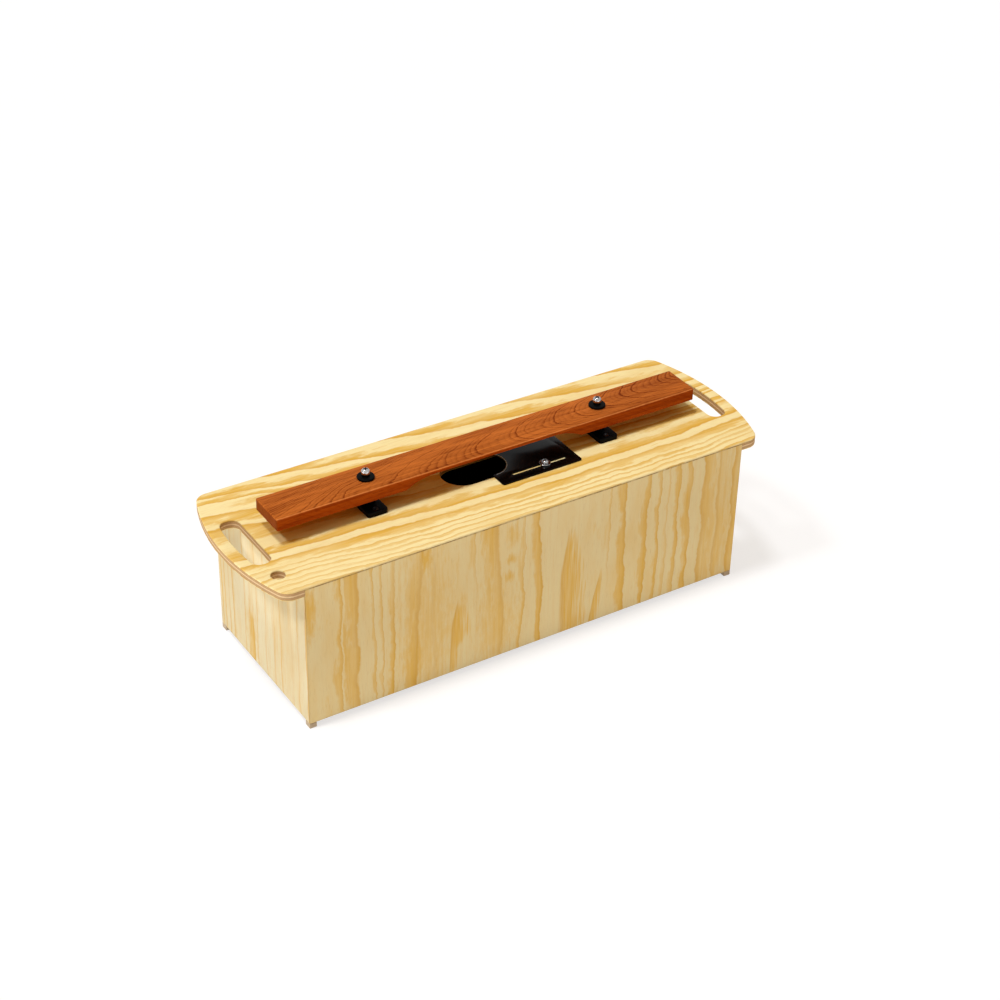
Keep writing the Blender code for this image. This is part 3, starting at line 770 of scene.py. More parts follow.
# %% Bands of the top plate
TOP_BANDS = [
    Band(-154, -149, "high", 0.6, 0.8),
    Band(-144, -139, "high", 0.7, 0.5),
    Band(-134, -130, "high", 0.5, 0.8),
    Band(-124, -119.5, "high", 0.8, 0.6),
    Band(-114, -110, "high", 0.6, 0.8),
    Band(-105, -99.5, "high", 0.7, 0.9),
    Band(-95, -79),
    Band(-68, -51, "low"),
    Band(-37, -18),
    Band(-13, 6),
    Band(33, 42, "low"),
    Band(47, 60, "low"),
    Band(73, 90, "low"),
    Band(109, 129, "low"),
    Band(144, 165, "low"),
    Band(181, 197, "low"),
]
TOP_BLUSHES = (
    Blush(-78, -85, 8, 60, 0.9),
    Blush(-89, 67, 8, 24, 0.9),
    Blush(-46, 193, 7, 28, 0.8),
    Blush(-70, -205, 6, 50, 0.7),
    Blush(-52, 290, 8, 45, 0.6),
    Blush(84, -310, 9, 40, 0.7),
    Blush(108, -330, 8, 36, 0.7),
)
print("top plate:", len(TOP_BANDS), "bands,", len(TOP_BLUSHES), "blushes")

# %% Bands of the front
FRONT_BANDS = [
    Band(-354, -350),
    Band(-300, -293, "high", 0.8, 0.9),
    Band(-292, -268, "high", 1.0, 0.9),
    Band(-251, -247, "high", 0.9, 0.7, 4.0),
    Band(-238, -234, "high", 0.9, 0.6),
    Band(-224, -214, "high", 1.0, 0.6, -4.0),
    Band(-197, -170, "high", 1.0, 0.6, -12.0),
    Band(-160, -141, "low", 0.4, 0.5),
    Band(-97, -90, "high", 0.1, 0.7),
    Band(-83, -54, "high", 0.6, 1.0, 14.0),
    Band(-19, -13, "high", 0.9, 0.7, -4.0),
    Band(-3, 8, "high", 1.0, 0.9, 9.0),
    Band(119, 123, "high", 0.0, 0.7),
    Band(135, 150, "high", 1.0, 0.9, 4.0),
    Band(179, 190, "high", 1.0, 0.8, -4.0),
    Band(201, 208, "high", 0.9, 0.8),
    Band(218, 222, "high", 0.5, 0.5),
    Band(232, 241, "high", 0.9, 0.9),
    Band(249, 261, "high", 1.0, 0.9, 2.0),
    Band(279, 303, "low", 0.8, 0.9),
    Band(306, 325, "low", 0.8, 0.7),
    Band(332, 350, "low", 0.8, 0.8),
]
FRONT_FLAMES = (
    Flame(44.5, 190, 60, 270),
    Flame(-129, 131, 52, 150, 4, 0.72),
    Flame(108, 98, 24, 170, 26),
)
FRONT_BLUSHES = (
    Blush(-37, 163, 11, 12, 0.9),
    Blush(-39, 134, 10, 13, 0.9),
    Blush(-34, 200, 16, 26, 0.7),
    Blush(-171, 210, 17, 32, 1.0),
    Blush(-342, 190, 18, 60, 0.9),
    Blush(-165, 100, 60, 190, 0.55),
    Blush(-60, 60, 45, 110, 0.60),
    Blush(315, 110, 45, 200, 0.45),
    Blush(-112, 120, 10, 22, 0.6),
    Blush(-180, 60, 14, 60, 0.8),
    Blush(-280, 70, 14, 90, 0.5),
)
print("front:", len(FRONT_BANDS), "bands,", len(FRONT_FLAMES), "flames,", len(FRONT_BLUSHES), "blushes")

# %% Bands of the side
SIDE_BANDS = [
    Band(-138, -126),
    Band(-108, -103),
    Band(-90, -72, "low", 0.4, 0.4),
    Band(-57, -54),
    Band(-40, -33, "high", 0.6, 0.6),
    Band(-12, -9),
    Band(14, 17),
    Band(26, 40, "high", 0.8, 0.2),
    Band(50, 53, "high", 1.0, 1.0),
    Band(85, 90),
    Band(98, 102),
    Band(111, 116),
    Band(121, 125),
    Band(130, 138),
]
SIDE_BLUSHES = (Blush(33, 60, 16, 60, 0.6), Blush(-60, 120, 50, 120, 0.25))
print("side:", len(SIDE_BANDS), "bands,", len(SIDE_BLUSHES), "blushes")

# %% [markdown]
# ## The six sheets
# With the lists in place, each sheet is one entry: its node, the directions of its grain, the side that
# faces out, its bands and how they wander, and its colours. The top plate's grain also sweeps: it
# slopes at the back and bows at the front.

# %% Plywood materials
FRONT_PALE = (0.806, 0.706, 0.416, 1.0)
FRONT_HONEY = (0.772, 0.512, 0.130, 1.0)
SIDE_PALE = (0.788, 0.735, 0.525, 1.0)
SWEEP_RANGE = (-0.05, 0.08)
BACK_SLOPE = 0.19
FRONT_BOW = -0.104
BOW_MIDDLE = 0.15


def swept(across, along):
    """The top plate's grain: sloped towards the back, bowed towards the front."""
    back = ramp(across, *SWEEP_RANGE)
    slope = product(along, BACK_SLOPE)
    off_bow = minus(along, BOW_MIDDLE)
    bow = product(off_bow, off_bow, FRONT_BOW)
    return total(across, times_plus(back, minus(slope, bow), bow))


SHEETS = (
    Sheet(
        "plate_wood", "top_plate", "YXZ", "high", TOP_BANDS, (0.022, (10.0, 12.0, 10.0)), CREAM,
        blushes=TOP_BLUSHES, ragged=1.3, bend=swept, stained=False,
    ),
    Sheet(
        "front_wood", "front_panel", "XZY", "low", FRONT_BANDS, (0.020, (8.0, 17.0, 8.0)), FRONT_PALE,
        FRONT_HONEY, FRONT_FLAMES, FRONT_BLUSHES, ragged=1.3,
    ),
    Sheet(
        "back_wood", "back_panel", "XZY", "high", turned_over(FRONT_BANDS), (0.022, (5.0, 9.0, 5.0)),
        FRONT_PALE, FRONT_HONEY, (Flame(-190, 150, 40, 225), Flame(90, 205, 44, 280)),
    ),
    Sheet(
        "left_wood", "left_side_panel", "YZX", "low", SIDE_BANDS, (0.014, (8.0, 12.0, 8.0)), SIDE_PALE,
        flames=(Flame(25, 98, 22, 130),), blushes=SIDE_BLUSHES, strong=0.6,
    ),
    Sheet(
        "right_wood", "right_side_panel", "YZX", "high", turned_over(SIDE_BANDS), (0.016, (6.0, 8.0, 6.0)),
        SIDE_PALE, flames=(Flame(-60, 165, 34, 210),), strong=0.8,
    ),
    Sheet(
        "bottom_wood", "bottom_panel", "YXZ", "low", TOP_BANDS, (0.026, (6.0, 5.0, 6.0)), FRONT_PALE,
        strong=0.85,
    ),
)
woods = {sheet.node: plywood(sheet) for sheet in SHEETS}
print("plywood finishes:", ", ".join(material.name for material in woods.values()))

# %% [markdown]
# ## The bar's hardwood
# The bar is sawn flat from a dense red-brown wood, so its rings show as arches that open towards one
# end. A parabola across the bar, added to a count along it, draws them, and each ring gets its own
# darkness from a random value. The arches' centre line runs out of the front edge towards the left,
# where only their long arms are left as nearly straight lines. Fine noise in the count feathers every
# ring. The sides are cut along the rings and look darker. The rounded arrises of the top get a painted
# highlight, a lighter colour along them.

# %% Rings of the bar
RING_RATE = 93.0
RATE_GROWTH = 29.0
RINGS_THROUGH = 150.0
ARCH_BEND = 56.0
ARCH_LINE_SLOPE = 0.095
ARCH_LINE_START = -0.0155
ARCH_LINE_DRIFT = 0.008

bar_low, bar_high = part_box("tone_bar")
hardwood, shader, place = new_material("bar_hardwood", specular=0.02)
parts = split(place)
grain = joined(parts[1], parts[0], parts[2])
waver = cloud(grain, (34.0, 10.0, 34.0), 2.0, 0.45)
drift = cloud(grain, (6.0, 5.0, 6.0), 1.0)
seasons = cloud(place, (11.0, 0.0, 0.0), 2.0, 0.6)
feathers = cloud(grain, (260.0, 30.0, 260.0), 3.0, 0.6)
centre_line = times_plus(parts[0], ARCH_LINE_SLOPE, ARCH_LINE_START)
off_line = minus(parts[1], total(centre_line, off_middle(drift, ARCH_LINE_DRIFT)))
apex = minus(parts[0], product(off_line, off_line, ARCH_BEND))
rate = times_plus(apex, RATE_GROWTH, RING_RATE)
count = times_plus(apex, rate, off_middle(waver, 1.7))
count = total(count, off_middle(seasons, 5.0), off_middle(feathers, 0.9))
count = times_plus(parts[2], RINGS_THROUGH, count)
print("rings counted at", RING_RATE, "to the metre in the middle of the bar")

# %% Colour of the bar
BAR_LIGHT = (0.545, 0.157, 0.027, 1.0)
BAR_DARK = (0.170, 0.028, 0.003, 1.0)
BAR_PORE = (0.090, 0.015, 0.003, 1.0)
BAR_SIDE = ((0.385, 0.058, 0.0006, 1.0), (0.265, 0.034, 0.0004, 1.0))
BAR_END = (0.205, 0.040, 0.004, 1.0)
BAR_ARRIS_HIGHLIGHT = (0.800, 0.290, 0.080, 1.0)
CUT_SIDE_SHARE = 0.84
ARRIS_REACH = 0.0020
ARRIS_HIGHLIGHT_SHARE = 0.60
BAR_PORE_DEPTH = 0.65
BAR_BUMP = 0.00010
FRONT_SHADE = (0.001, 0.006)
TOP_SKIN = (0.0016, 0.0008)
SIDE_SKIN = (0.0008, 0.0003)
END_SKIN = (0.0022, 0.0008)
FAR_OFF = 1.0

fibre = place_group(fibres, {"Grain": grain, "Fineness": 0.9})
start = total(0.35, off_middle(fibre["Streaks"], 0.8))
ring = place_group(rings, {"Phase": count, "Start": start, "Softness": 0.45})
whole_ring = reckon("FLOOR", count)
rings_apart = add(whole_ring.id_data, "ShaderNodeTexWhiteNoise", {"W": whole_ring}, noise_dimensions="1D")
each_ring = rings_apart.outputs[0]
figure = product(ring["Band"], ramp(each_ring, 0.2, 1.0, 0.10, 0.56))
figure = times_plus(ring["Line"], ramp(each_ring, 0.3, 1.0, 0.08, 0.38), figure)
figure = product(figure, ramp(parts[0], 0.0, 0.22, 1.0, 1.35))
patches = cloud(grain, (30.0, 6.0, 30.0), 3.0, 0.6)
patchy = ramp(patches, 0.36, 0.66, -0.06, 0.20)
right_part = ramp(parts[0], 0.14, 0.31, 0.0, 0.14)
front_part = ramp(parts[1], *[bar_low.y + inward for inward in FRONT_SHADE], 0.20, 0.0)
streaky = ramp(fibre["Streaks"], 0.36, 0.64, -0.20, 0.46, smooth=False)
shade = clamped(total(figure, patchy, right_part, front_part, streaky))
body = mixed(shade, BAR_LIGHT, BAR_DARK)

side_wood = mixed(ramp(fibre["Streaks"], 0.36, 0.64), *BAR_SIDE)
below_top = ramp(parts[2], *[bar_high.z - inward for inward in TOP_SKIN], 1.0, 0.0)
beside = ramp(reckon("ABSOLUTE", parts[1]), *[bar_high.y - inward for inward in SIDE_SKIN])
at_end = ramp(reckon("ABSOLUTE", parts[0]), *[bar_high.x - inward for inward in END_SKIN])
body = mixed(product(beside, CUT_SIDE_SHARE), body, side_wood)
body = mixed(product(at_end, below_top, CUT_SIDE_SHARE), body, BAR_END)
# Painted highlight: the top's front and back arrises get a lighter colour, for the light they catch.
wear_or_highlight = place_group(edges, {
    "Place": place,
    "Low": Vector((-FAR_OFF, bar_low.y, -FAR_OFF)),
    "High": Vector((FAR_OFF, bar_high.y, bar_high.z)),
    "Reach": ARRIS_REACH,
    "Break": 0.5,
})
body = mixed(product(wear_or_highlight["Wear"], ARRIS_HIGHLIGHT_SHARE), body, BAR_ARRIS_HIGHLIGHT)
body = mixed(product(fibre["Pores"], BAR_PORE_DEPTH), body, BAR_PORE)
gloss = ramp(shade, 0.0, 1.0, 0.36, 0.50, smooth=False)
finish_with(shader, body, gloss, fibre["Height"], BAR_BUMP)
print("finish:", hardwood.name)

# %% [markdown]
# ## Black, soft and bright finishes
# The supports and sleeves are moulded, the grommets and cushions are rubber, the pads under the box are
# soft too, and the screws are plated. They share one group with the black slider, whose own finish is
# mixed where the slider is made: a fine grain, thin scuffs and a film of dust, which change the gloss
# and the bump and very little of the colour. Screw recesses get painted shade, the notch a highlight.

# %% Surface wear group
wear, given = node_group(
    "ShaderNodeTree",
    "Surface wear",
    {"Place": "Vector", "Grain Size": 0.0004, "Scuff Length": 0.02},
    {"Grain": "Float", "Scuffs": "Float", "Dust": "Float"},
)
grit = cloud(given["Place"], reckon("DIVIDE", 1.0, given["Grain Size"]), 2.0, 0.6)
drawn = sized(given["Place"], reckon("DIVIDE", 1.0, given["Scuff Length"]))
one_way = ramp(cloud(drawn, (1.0, 60.0, 60.0), 2.0, 0.7), 0.66, 0.78)
other_way = ramp(cloud(drawn, (50.0, 2.0, 50.0), 2.0, 0.7), 0.68, 0.80)
scuffs = most(one_way, product(other_way, 0.6))
dust = ramp(cloud(given["Place"], 70.0, 4.0, 0.65), 0.45, 0.80)
put_out(wear, {"Grain": grit, "Scuffs": scuffs, "Dust": dust})

# %% Small finishes
RECESS = "recess"
SCUFF_SINK = -0.6


def recess_faces(place):
    """1 on the faces that a mesh marks as its recess."""
    return add(place.id_data, "ShaderNodeAttribute", attribute_name=RECESS).outputs["Fac"]


def small_finish(
    name, dark, light, rough, duller, grain_size, scuff_length, depth,
    metallic=0.0, specular=0.5, painted_light=None, mask=recess_faces,
):
    """A finish with the shared grain, scuffs and dust. Painted light, shade or a highlight, colours what its
    mask picks out.
    """
    material, shader, place = new_material(name, metallic, specular)
    wear_or_highlight = place_group(wear, {"Place": place, "Grain Size": grain_size, "Scuff Length": scuff_length})
    share = times_plus(wear_or_highlight["Dust"], 0.5, product(wear_or_highlight["Grain"], 0.5))
    colour = mixed(share, (*dark, 1.0), (*light, 1.0))
    if painted_light:
        colour = mixed(mask(place), colour, (*painted_light, 1.0))
    dull = times_plus(wear_or_highlight["Scuffs"], duller, rough)
    dull = times_plus(wear_or_highlight["Dust"], duller, dull)
    height = times_plus(wear_or_highlight["Scuffs"], SCUFF_SINK, wear_or_highlight["Grain"])
    finish_with(shader, colour, dull, height, depth)
    return material


moulded_black = small_finish(
    "moulded_black", (0.0006, 0.0006, 0.0006), (0.0020, 0.0020, 0.0021), rough=0.45, duller=0.12,
    grain_size=0.0007, scuff_length=0.02, depth=0.00005, specular=0.05,
)
rubber_black = small_finish(
    "rubber_black", (0.0006, 0.0006, 0.0006), (0.0022, 0.0021, 0.0020), rough=0.60, duller=0.15,
    grain_size=0.0005, scuff_length=0.015, depth=0.00005, specular=0.05,
)
# Painted shade: the recesses of the screw heads are coloured near black.
nickel = small_finish(
    "nickel_plate", (0.32, 0.31, 0.31), (0.56, 0.55, 0.54), rough=0.12, duller=0.14,
    grain_size=0.0006, scuff_length=0.006, depth=0.00002, metallic=1.0, painted_light=(0.02, 0.02, 0.02),
)
# Painted shade here too, in the recesses of the support screws.
dark_steel = small_finish(
    "dark_steel", (0.05, 0.05, 0.053), (0.12, 0.12, 0.125), rough=0.32, duller=0.16,
    grain_size=0.0006, scuff_length=0.006, depth=0.00003, metallic=1.0, painted_light=(0.005, 0.005, 0.005),
)
foot_felt = small_finish(
    "foot_pad", (0.46, 0.38, 0.27), (0.64, 0.55, 0.42), rough=0.80, duller=0.10,
    grain_size=0.0006, scuff_length=0.01, depth=0.00015, specular=0.2,
)
print("materials so far:", len(bpy.data.materials))

# %% [markdown]
# ## Making pieces
# A piece starts as a mesh, a flat curve or a tree of Geometry Nodes, and modifiers finish it. The
# helpers below read the evaluated result into a plain mesh, weld it and mark its sharp edges, hang it
# on the body that carries it and hide the solids it stands for.

# %% From modifiers to a piece
SHARP_ANGLE = radians(38.0)
BEVEL_ANGLE = radians(40.0)
WELD = 0.000002


def evaluated_mesh(source):
    """What an object looks like with its modifiers, as a new mesh in the object's own space."""
    bpy.context.view_layer.update()
    return bpy.data.meshes.new_from_object(source.evaluated_get(bpy.context.evaluated_depsgraph_get()))


def welded(mesh):
    """A mesh as a bmesh without doubles, with every face turned outwards."""
    shape = bmesh.new()
    shape.from_mesh(mesh)
    bmesh.ops.remove_doubles(shape, verts=shape.verts, dist=WELD)
    bmesh.ops.recalc_face_normals(shape, faces=shape.faces)
    return shape


def object_from(shape, name):
    """A bmesh as an object in the scene."""
    mesh = bpy.data.meshes.new(name)
    shape.to_mesh(mesh)
    shape.free()
    made = bpy.data.objects.new(name, mesh)
    scene.collection.objects.link(made)
    return made


def finished(source, name, material, body, replaced):
    """Turns an object with modifiers into a plain piece that rides on a body."""
    mesh = evaluated_mesh(source)
    mesh.transform(source.matrix_world)
    bpy.data.objects.remove(source)
    piece = object_from(welded(mesh), name)
    bpy.data.meshes.remove(mesh)
    piece.data.shade_smooth()
    piece.data.set_sharp_from_angle(angle=SHARP_ANGLE)
    piece.data.materials.append(material)
    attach(piece, body)
    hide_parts(*replaced)
    return piece


def combine(target, shapes, operation):
    """Cuts shapes out of an object or joins them to it, one after another."""
    for shape in shapes:
        helper = object_from(shape, "helper")
        boolean = target.modifiers.new("boolean", "BOOLEAN")
        boolean.operation = operation
        boolean.solver = "EXACT"
        boolean.object = helper
        mesh = evaluated_mesh(target)
        target.modifiers.clear()
        target.data = mesh
        bpy.data.objects.remove(helper)


def rounded_edges(target, width, segments, limit="ANGLE"):
    """A Bevel modifier for the square edges of an object, or for those that carry a weight."""
    bevel = target.modifiers.new("rounded_edges", "BEVEL")
    bevel.width = width
    bevel.segments = segments
    bevel.limit_method = limit
    bevel.angle_limit = BEVEL_ANGLE


print("piece helpers ready")

# %% Outlines and solids
def arc(centre, radius, start, end, steps):
    """Points along an arc, both ends included, with its angles in degrees."""
    points = []
    for step in range(steps + 1):
        angle = radians(start + (end - start) * step / steps)
        points.append((centre[0] + radius * cos(angle), centre[1] + radius * sin(angle)))
    return points


def flat_sheet(name, outlines, low, high, edge):
    """A sheet cut from closed outlines, the outer one and its holes, with every arris rounded."""
    data = bpy.data.curves.new(name, "CURVE")
    data.dimensions = "2D"
    data.fill_mode = "BOTH"
    for outline in outlines:
        spline = data.splines.new("POLY")
        spline.points.add(len(outline) - 1)
        spline.points.foreach_set("co", [value for x, y in outline for value in (x, y, 0.0, 1.0)])
        spline.use_cyclic_u = True
    data.extrude = (high - low) / 2 - edge
    data.bevel_depth = edge
    data.bevel_resolution = 3
    data.offset = -edge
    blank = bpy.data.objects.new(name, data)
    scene.collection.objects.link(blank)
    mesh = evaluated_mesh(blank)
    mesh.transform(Matrix.Translation((0.0, 0.0, (low + high) / 2)))
    bpy.data.objects.remove(blank)
    return object_from(welded(mesh), name)


def prism(outline, low, high):
    """A closed shape: an outline in the XY plane, pulled straight up."""
    shape = bmesh.new()
    face = shape.faces.new([shape.verts.new((x, y, low)) for x, y in outline])
    grown = bmesh.ops.extrude_face_region(shape, geom=[face])["geom"]
    raised = [item for item in grown if isinstance(item, bmesh.types.BMVert)]
    bmesh.ops.translate(shape, verts=raised, vec=(0.0, 0.0, high - low))
    bmesh.ops.recalc_face_normals(shape, faces=shape.faces)
    return shape


def turned(profile, centre=(0.0, 0.0), sides=64):
    """Turns a profile of radii and heights about Z: a closed loop, or a line between two axis points."""
    shape = bmesh.new()
    points = [shape.verts.new((radius, 0.0, height)) for radius, height in profile]
    pairs = list(zip(points, points[1:]))
    if profile[0][0] > 0.0:
        pairs.append((points[-1], points[0]))
    lines = [shape.edges.new(pair) for pair in pairs]
    bmesh.ops.spin(
        shape,
        geom=points + lines,
        cent=(0.0, 0.0, 0.0),
        axis=(0.0, 0.0, 1.0),
        angle=tau,
        steps=sides,
        use_merge=True,
    )
    bmesh.ops.remove_doubles(shape, verts=shape.verts, dist=WELD)
    bmesh.ops.translate(shape, verts=shape.verts, vec=(*centre, 0.0))
    bmesh.ops.recalc_face_normals(shape, faces=shape.faces)
    return shape


def rod(radius, low, high, centre=(0.0, 0.0)):
    """A plain round rod, upright."""
    return turned([(0.0, low), (radius, low), (radius, high), (0.0, high)], centre)


def middle(node):
    """The middle of a node's box, seen from above."""
    low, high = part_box(node)
    return ((low.x + high.x) / 2, (low.y + high.y) / 2)


print("shape helpers ready")

# %% [markdown]
# ## The top plate
# The plate is one cut sheet: curved ends, two hand slots, the sound hole and the mallet hole. A flat
# curve with a small bevel makes the sheet and softens every cut edge at once, as sandpaper does. The
# front and back panels then take their room from it, so that only a thin lip covers them, and the
# screws get their holes. The left slot is set off by a hair, because the fill would leave a crack if
# the sides of both slots lay on one line.

# %% Plate outlines
END_RADIUS = 0.3445
CORNER_RADIUS = 0.020
HAND_SLOT_HALF = 0.056
HAND_SLOT_RIM = 0.0175
HAND_SLOT_SETBACK = 0.004
HAND_SLOT_CORNER = 0.0125
HAND_SLOT_HAIR = 0.00001
SOUND_HOLE_HALF = 0.066
SOUND_HOLE_RADIUS = 0.0308
MALLET_HOLE_OVERHANG = 0.0148
MALLET_HOLE_SETBACK = 0.0436
MALLET_HOLE_RADIUS = 0.00975

plate_low, plate_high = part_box("top_plate")
front_low, front_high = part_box("front_panel")
box_half = front_high.x
depth_half = -front_low.y
panel = front_high.y - front_low.y
end_centre = plate_high.x - END_RADIUS


def curved_end(centre_x, radius, half_depth, fillet):
    """A right-hand end, from front to back: a fillet, a long arc and a fillet."""
    fillet_y = half_depth - fillet
    reach = sqrt((radius - fillet) ** 2 - fillet_y**2)
    swing = degrees(atan2(fillet_y, reach))
    front = arc((centre_x + reach, -fillet_y), fillet, -90, -swing, 12)
    end = arc((centre_x, 0.0), radius, -swing, swing, 64)
    back = arc((centre_x + reach, fillet_y), fillet, swing, 90, 12)
    return front + end[1:-1] + back


def mirrored(outline):
    """The outline on the other side of the YZ plane."""
    return [(-x, y) for x, y in reversed(outline)]


def oblong(x_low, x_high, radius, y=0.0):
    """A slot along X with half-round ends."""
    return arc((x_high - radius, y), radius, -90, 90, 48) + arc((x_low + radius, y), radius, 90, 270, 48)


right_end = curved_end(end_centre, END_RADIUS, depth_half, CORNER_RADIUS)
slot_inner = box_half + HAND_SLOT_SETBACK + HAND_SLOT_CORNER
slot_corner_y = HAND_SLOT_HALF - HAND_SLOT_CORNER
hand_slot = curved_end(end_centre, END_RADIUS - HAND_SLOT_RIM, HAND_SLOT_HALF, HAND_SLOT_CORNER)
hand_slot += arc((slot_inner, slot_corner_y), HAND_SLOT_CORNER, 90, 180, 10)
hand_slot += arc((slot_inner, -slot_corner_y), HAND_SLOT_CORNER, 180, 270, 10)
mallet_place = (-box_half - MALLET_HOLE_OVERHANG, MALLET_HOLE_SETBACK - depth_half)
plate_outlines = [
    right_end + mirrored(right_end),
    hand_slot,
    [(x, y + HAND_SLOT_HAIR) for x, y in mirrored(hand_slot)],
    oblong(-SOUND_HOLE_HALF, SOUND_HOLE_HALF, SOUND_HOLE_RADIUS),
    arc(mallet_place, MALLET_HOLE_RADIUS, 0, 360, 64)[:-1],
]
print("plate outlines:", [len(outline) for outline in plate_outlines])

# %% Top plate
CLEARANCE = 0.0003
PAST = 0.002
PLATE_EDGE = 0.0011
PLATE_LIP = 0.002
BAR_SCREW_RADIUS = 0.0025
SMALL_SCREW_RADIUS = 0.0018
LOCK_SCREW_RADIUS = 0.0022
SCREW_RADII = {
    "bar_screw": BAR_SCREW_RADIUS,
    "support_screw": SMALL_SCREW_RADIUS,
    "slider_screw": LOCK_SCREW_RADIUS,
}


def panel_room(side):
    """The step that the front or back panel fills, mitred like the panel."""
    mitre = CLEARANCE * sqrt(2)
    outer = side * (depth_half + PAST)
    inner = side * (depth_half - panel - CLEARANCE)
    outer_x = box_half + mitre + PAST
    inner_x = box_half - panel + mitre - CLEARANCE
    outline = [(-outer_x, outer), (outer_x, outer), (inner_x, inner), (-inner_x, inner)]
    return prism(outline, plate_low.z - PAST, plate_high.z - PLATE_LIP)


plate = flat_sheet("plate_blank", plate_outlines, plate_low.z, plate_high.z, PLATE_EDGE)
cuts = [panel_room(-1), panel_room(1)]
for node in sorted(nodes):
    for kind, radius in SCREW_RADII.items():
        if kind in node:
            cuts.append(rod(radius + CLEARANCE, plate_low.z - PAST, plate_high.z + PAST, middle(node)))
combine(plate, cuts, "DIFFERENCE")
plate = finished(plate, "top_plate_sanded", woods["top_plate"], "box", ["top_plate"])
print(plate.name, len(plate.data.polygons), "faces,", len(cuts), "cuts")

# %% [markdown]
# ## The boards of the box
# The walls and the bottom are plain boards with mitred corners, so a welded copy of each solid with
# finely rounded edges is the real thing. Flat faces are joined up first, because a bevel needs clean
# edges to follow.

# %% Boards
BOARD_EDGE = 0.0006
FLAT_ANGLE = radians(1.0)

boards = {
    "front_panel": "front_board",
    "back_panel": "back_board",
    "left_side_panel": "left_board",
    "right_side_panel": "right_board",
    "bottom_panel": "bottom_board",
}
for node, name in boards.items():
    shape = welded(nodes[node].data)
    bmesh.ops.dissolve_limit(shape, angle_limit=FLAT_ANGLE, verts=shape.verts, edges=shape.edges)
    board = object_from(shape, name + "_blank")
    rounded_edges(board, BOARD_EDGE, 3)
    finished(board, name, woods[node], "box", [node])
print("boards:", ", ".join(boards.values()))

# %% [markdown]
# ## The tone bar
# The bar's underside follows a rule: flat in the middle, then an arc of one radius down to full
# thickness, which is how the maker tunes it. So Geometry Nodes make it: a block with many slices along
# its length, whose lower points are lifted by the arc's formula. The tree also gives each square edge
# a weight, by which a bevel rounds it, and two holes are bored at the nodes, the places that stay still
# when the bar sounds.

# %% Trees that make shapes
def geometry_tree(name, inputs):
    """An empty Geometry Nodes tree with named inputs."""
    return node_group("GeometryNodeTree", name, {"Geometry": "Geometry", **inputs}, {"Geometry": "Geometry"})


def run_tree(source, tree, values):
    """Puts a tree on an object and sets its inputs."""
    modifier = source.modifiers.new(tree.name, "NODES")
    modifier.node_group = tree
    sockets = {item.name: item.identifier for item in tree.interface.items_tree if item.in_out == "INPUT"}
    for label, value in values.items():
        modifier[sockets[label]] = value


def put_out_dressed(tree, geometry, material):
    """Ends a tree: gives its geometry a material and puts it out."""
    dressed = add(tree, "GeometryNodeSetMaterial", {0: geometry, "Material": material})
    put_out(tree, {"Geometry": dressed.outputs[0]})


print("helpers for Geometry Nodes ready")

# %% Undercut bar tree
BAR_SPLIT = 0.001
SQUARE_ANGLE = radians(50.0)

undercut, given = geometry_tree("Undercut bar", {
    "Length": 0.6,
    "Width": 0.06,
    "Thickness": 0.018,
    "Middle": 0.006,
    "Mouth": 0.28,
    "Radius": 0.09,
    "Slices": 100,
    "Upper Arris": 0.6,
    "Lower Arris": 0.2,
    "Finish": "Material",
})
size = joined(given["Length"], given["Width"], given["Thickness"])
block = add(undercut, "GeometryNodeMeshCube", {"Size": size, "Vertices X": given["Slices"]})
point = split(add(undercut, "GeometryNodeInputPosition").outputs[0])
along = reckon("ABSOLUTE", point[0])
rise = minus(given["Thickness"], given["Middle"])
squared = product(given["Radius"], given["Radius"])
drop = minus(given["Radius"], rise)
arc_run = reckon("SQRT", minus(squared, product(drop, drop)))
flat_half = minus(reckon("DIVIDE", given["Mouth"], 2.0), arc_run)
beyond = most(minus(along, flat_half), 0.0)
fall = minus(squared, product(beyond, beyond))
height = minus(reckon("SQRT", most(fall, 0.0)), drop)
carved = add(undercut, "GeometryNodeSetPosition", {
    "Geometry": block.outputs["Mesh"],
    "Selection": reckon("LESS_THAN", point[2], 0.0),
    "Offset": joined(0.0, 0.0, most(height, 0.0)),
})

turn_angle = add(undercut, "GeometryNodeInputMeshEdgeAngle").outputs[0]
square = reckon("GREATER_THAN", turn_angle, SQUARE_ANGLE)
top_level = minus(reckon("DIVIDE", given["Thickness"], 2.0), BAR_SPLIT)
end_level = minus(reckon("DIVIDE", given["Length"], 2.0), BAR_SPLIT)
above = reckon("GREATER_THAN", point[2], top_level)
at_end = reckon("GREATER_THAN", along, end_level)
half_height = reckon("DIVIDE", given["Thickness"], 4.0)
halfway = reckon("LESS_THAN", reckon("ABSOLUTE", point[2]), half_height)
rounded = most(above, at_end)
weight = ramp(rounded, 0.0, 1.0, given["Lower Arris"], given["Upper Arris"], smooth=False)
weight = most(weight, product(at_end, halfway))
marked = add(
    undercut,
    "GeometryNodeStoreNamedAttribute",
    {"Geometry": carved.outputs[0], "Name": "bevel_weight_edge", "Value": product(square, weight)},
    domain="EDGE",
    data_type="FLOAT",
)
put_out_dressed(undercut, marked.outputs[0], given["Finish"])

# %% Tone bar
BAR_MIDDLE = 0.0055
BAR_CORNER = 0.0027
UNDERCUT_LENGTH = 0.279
UNDERCUT_RADIUS = 0.087
BAR_SLICES = 139
UPPER_ARRIS = 0.67
LOWER_ARRIS = 0.13
BAR_HOLE_RADIUS = 0.0070
HANDS = ("left", "right")

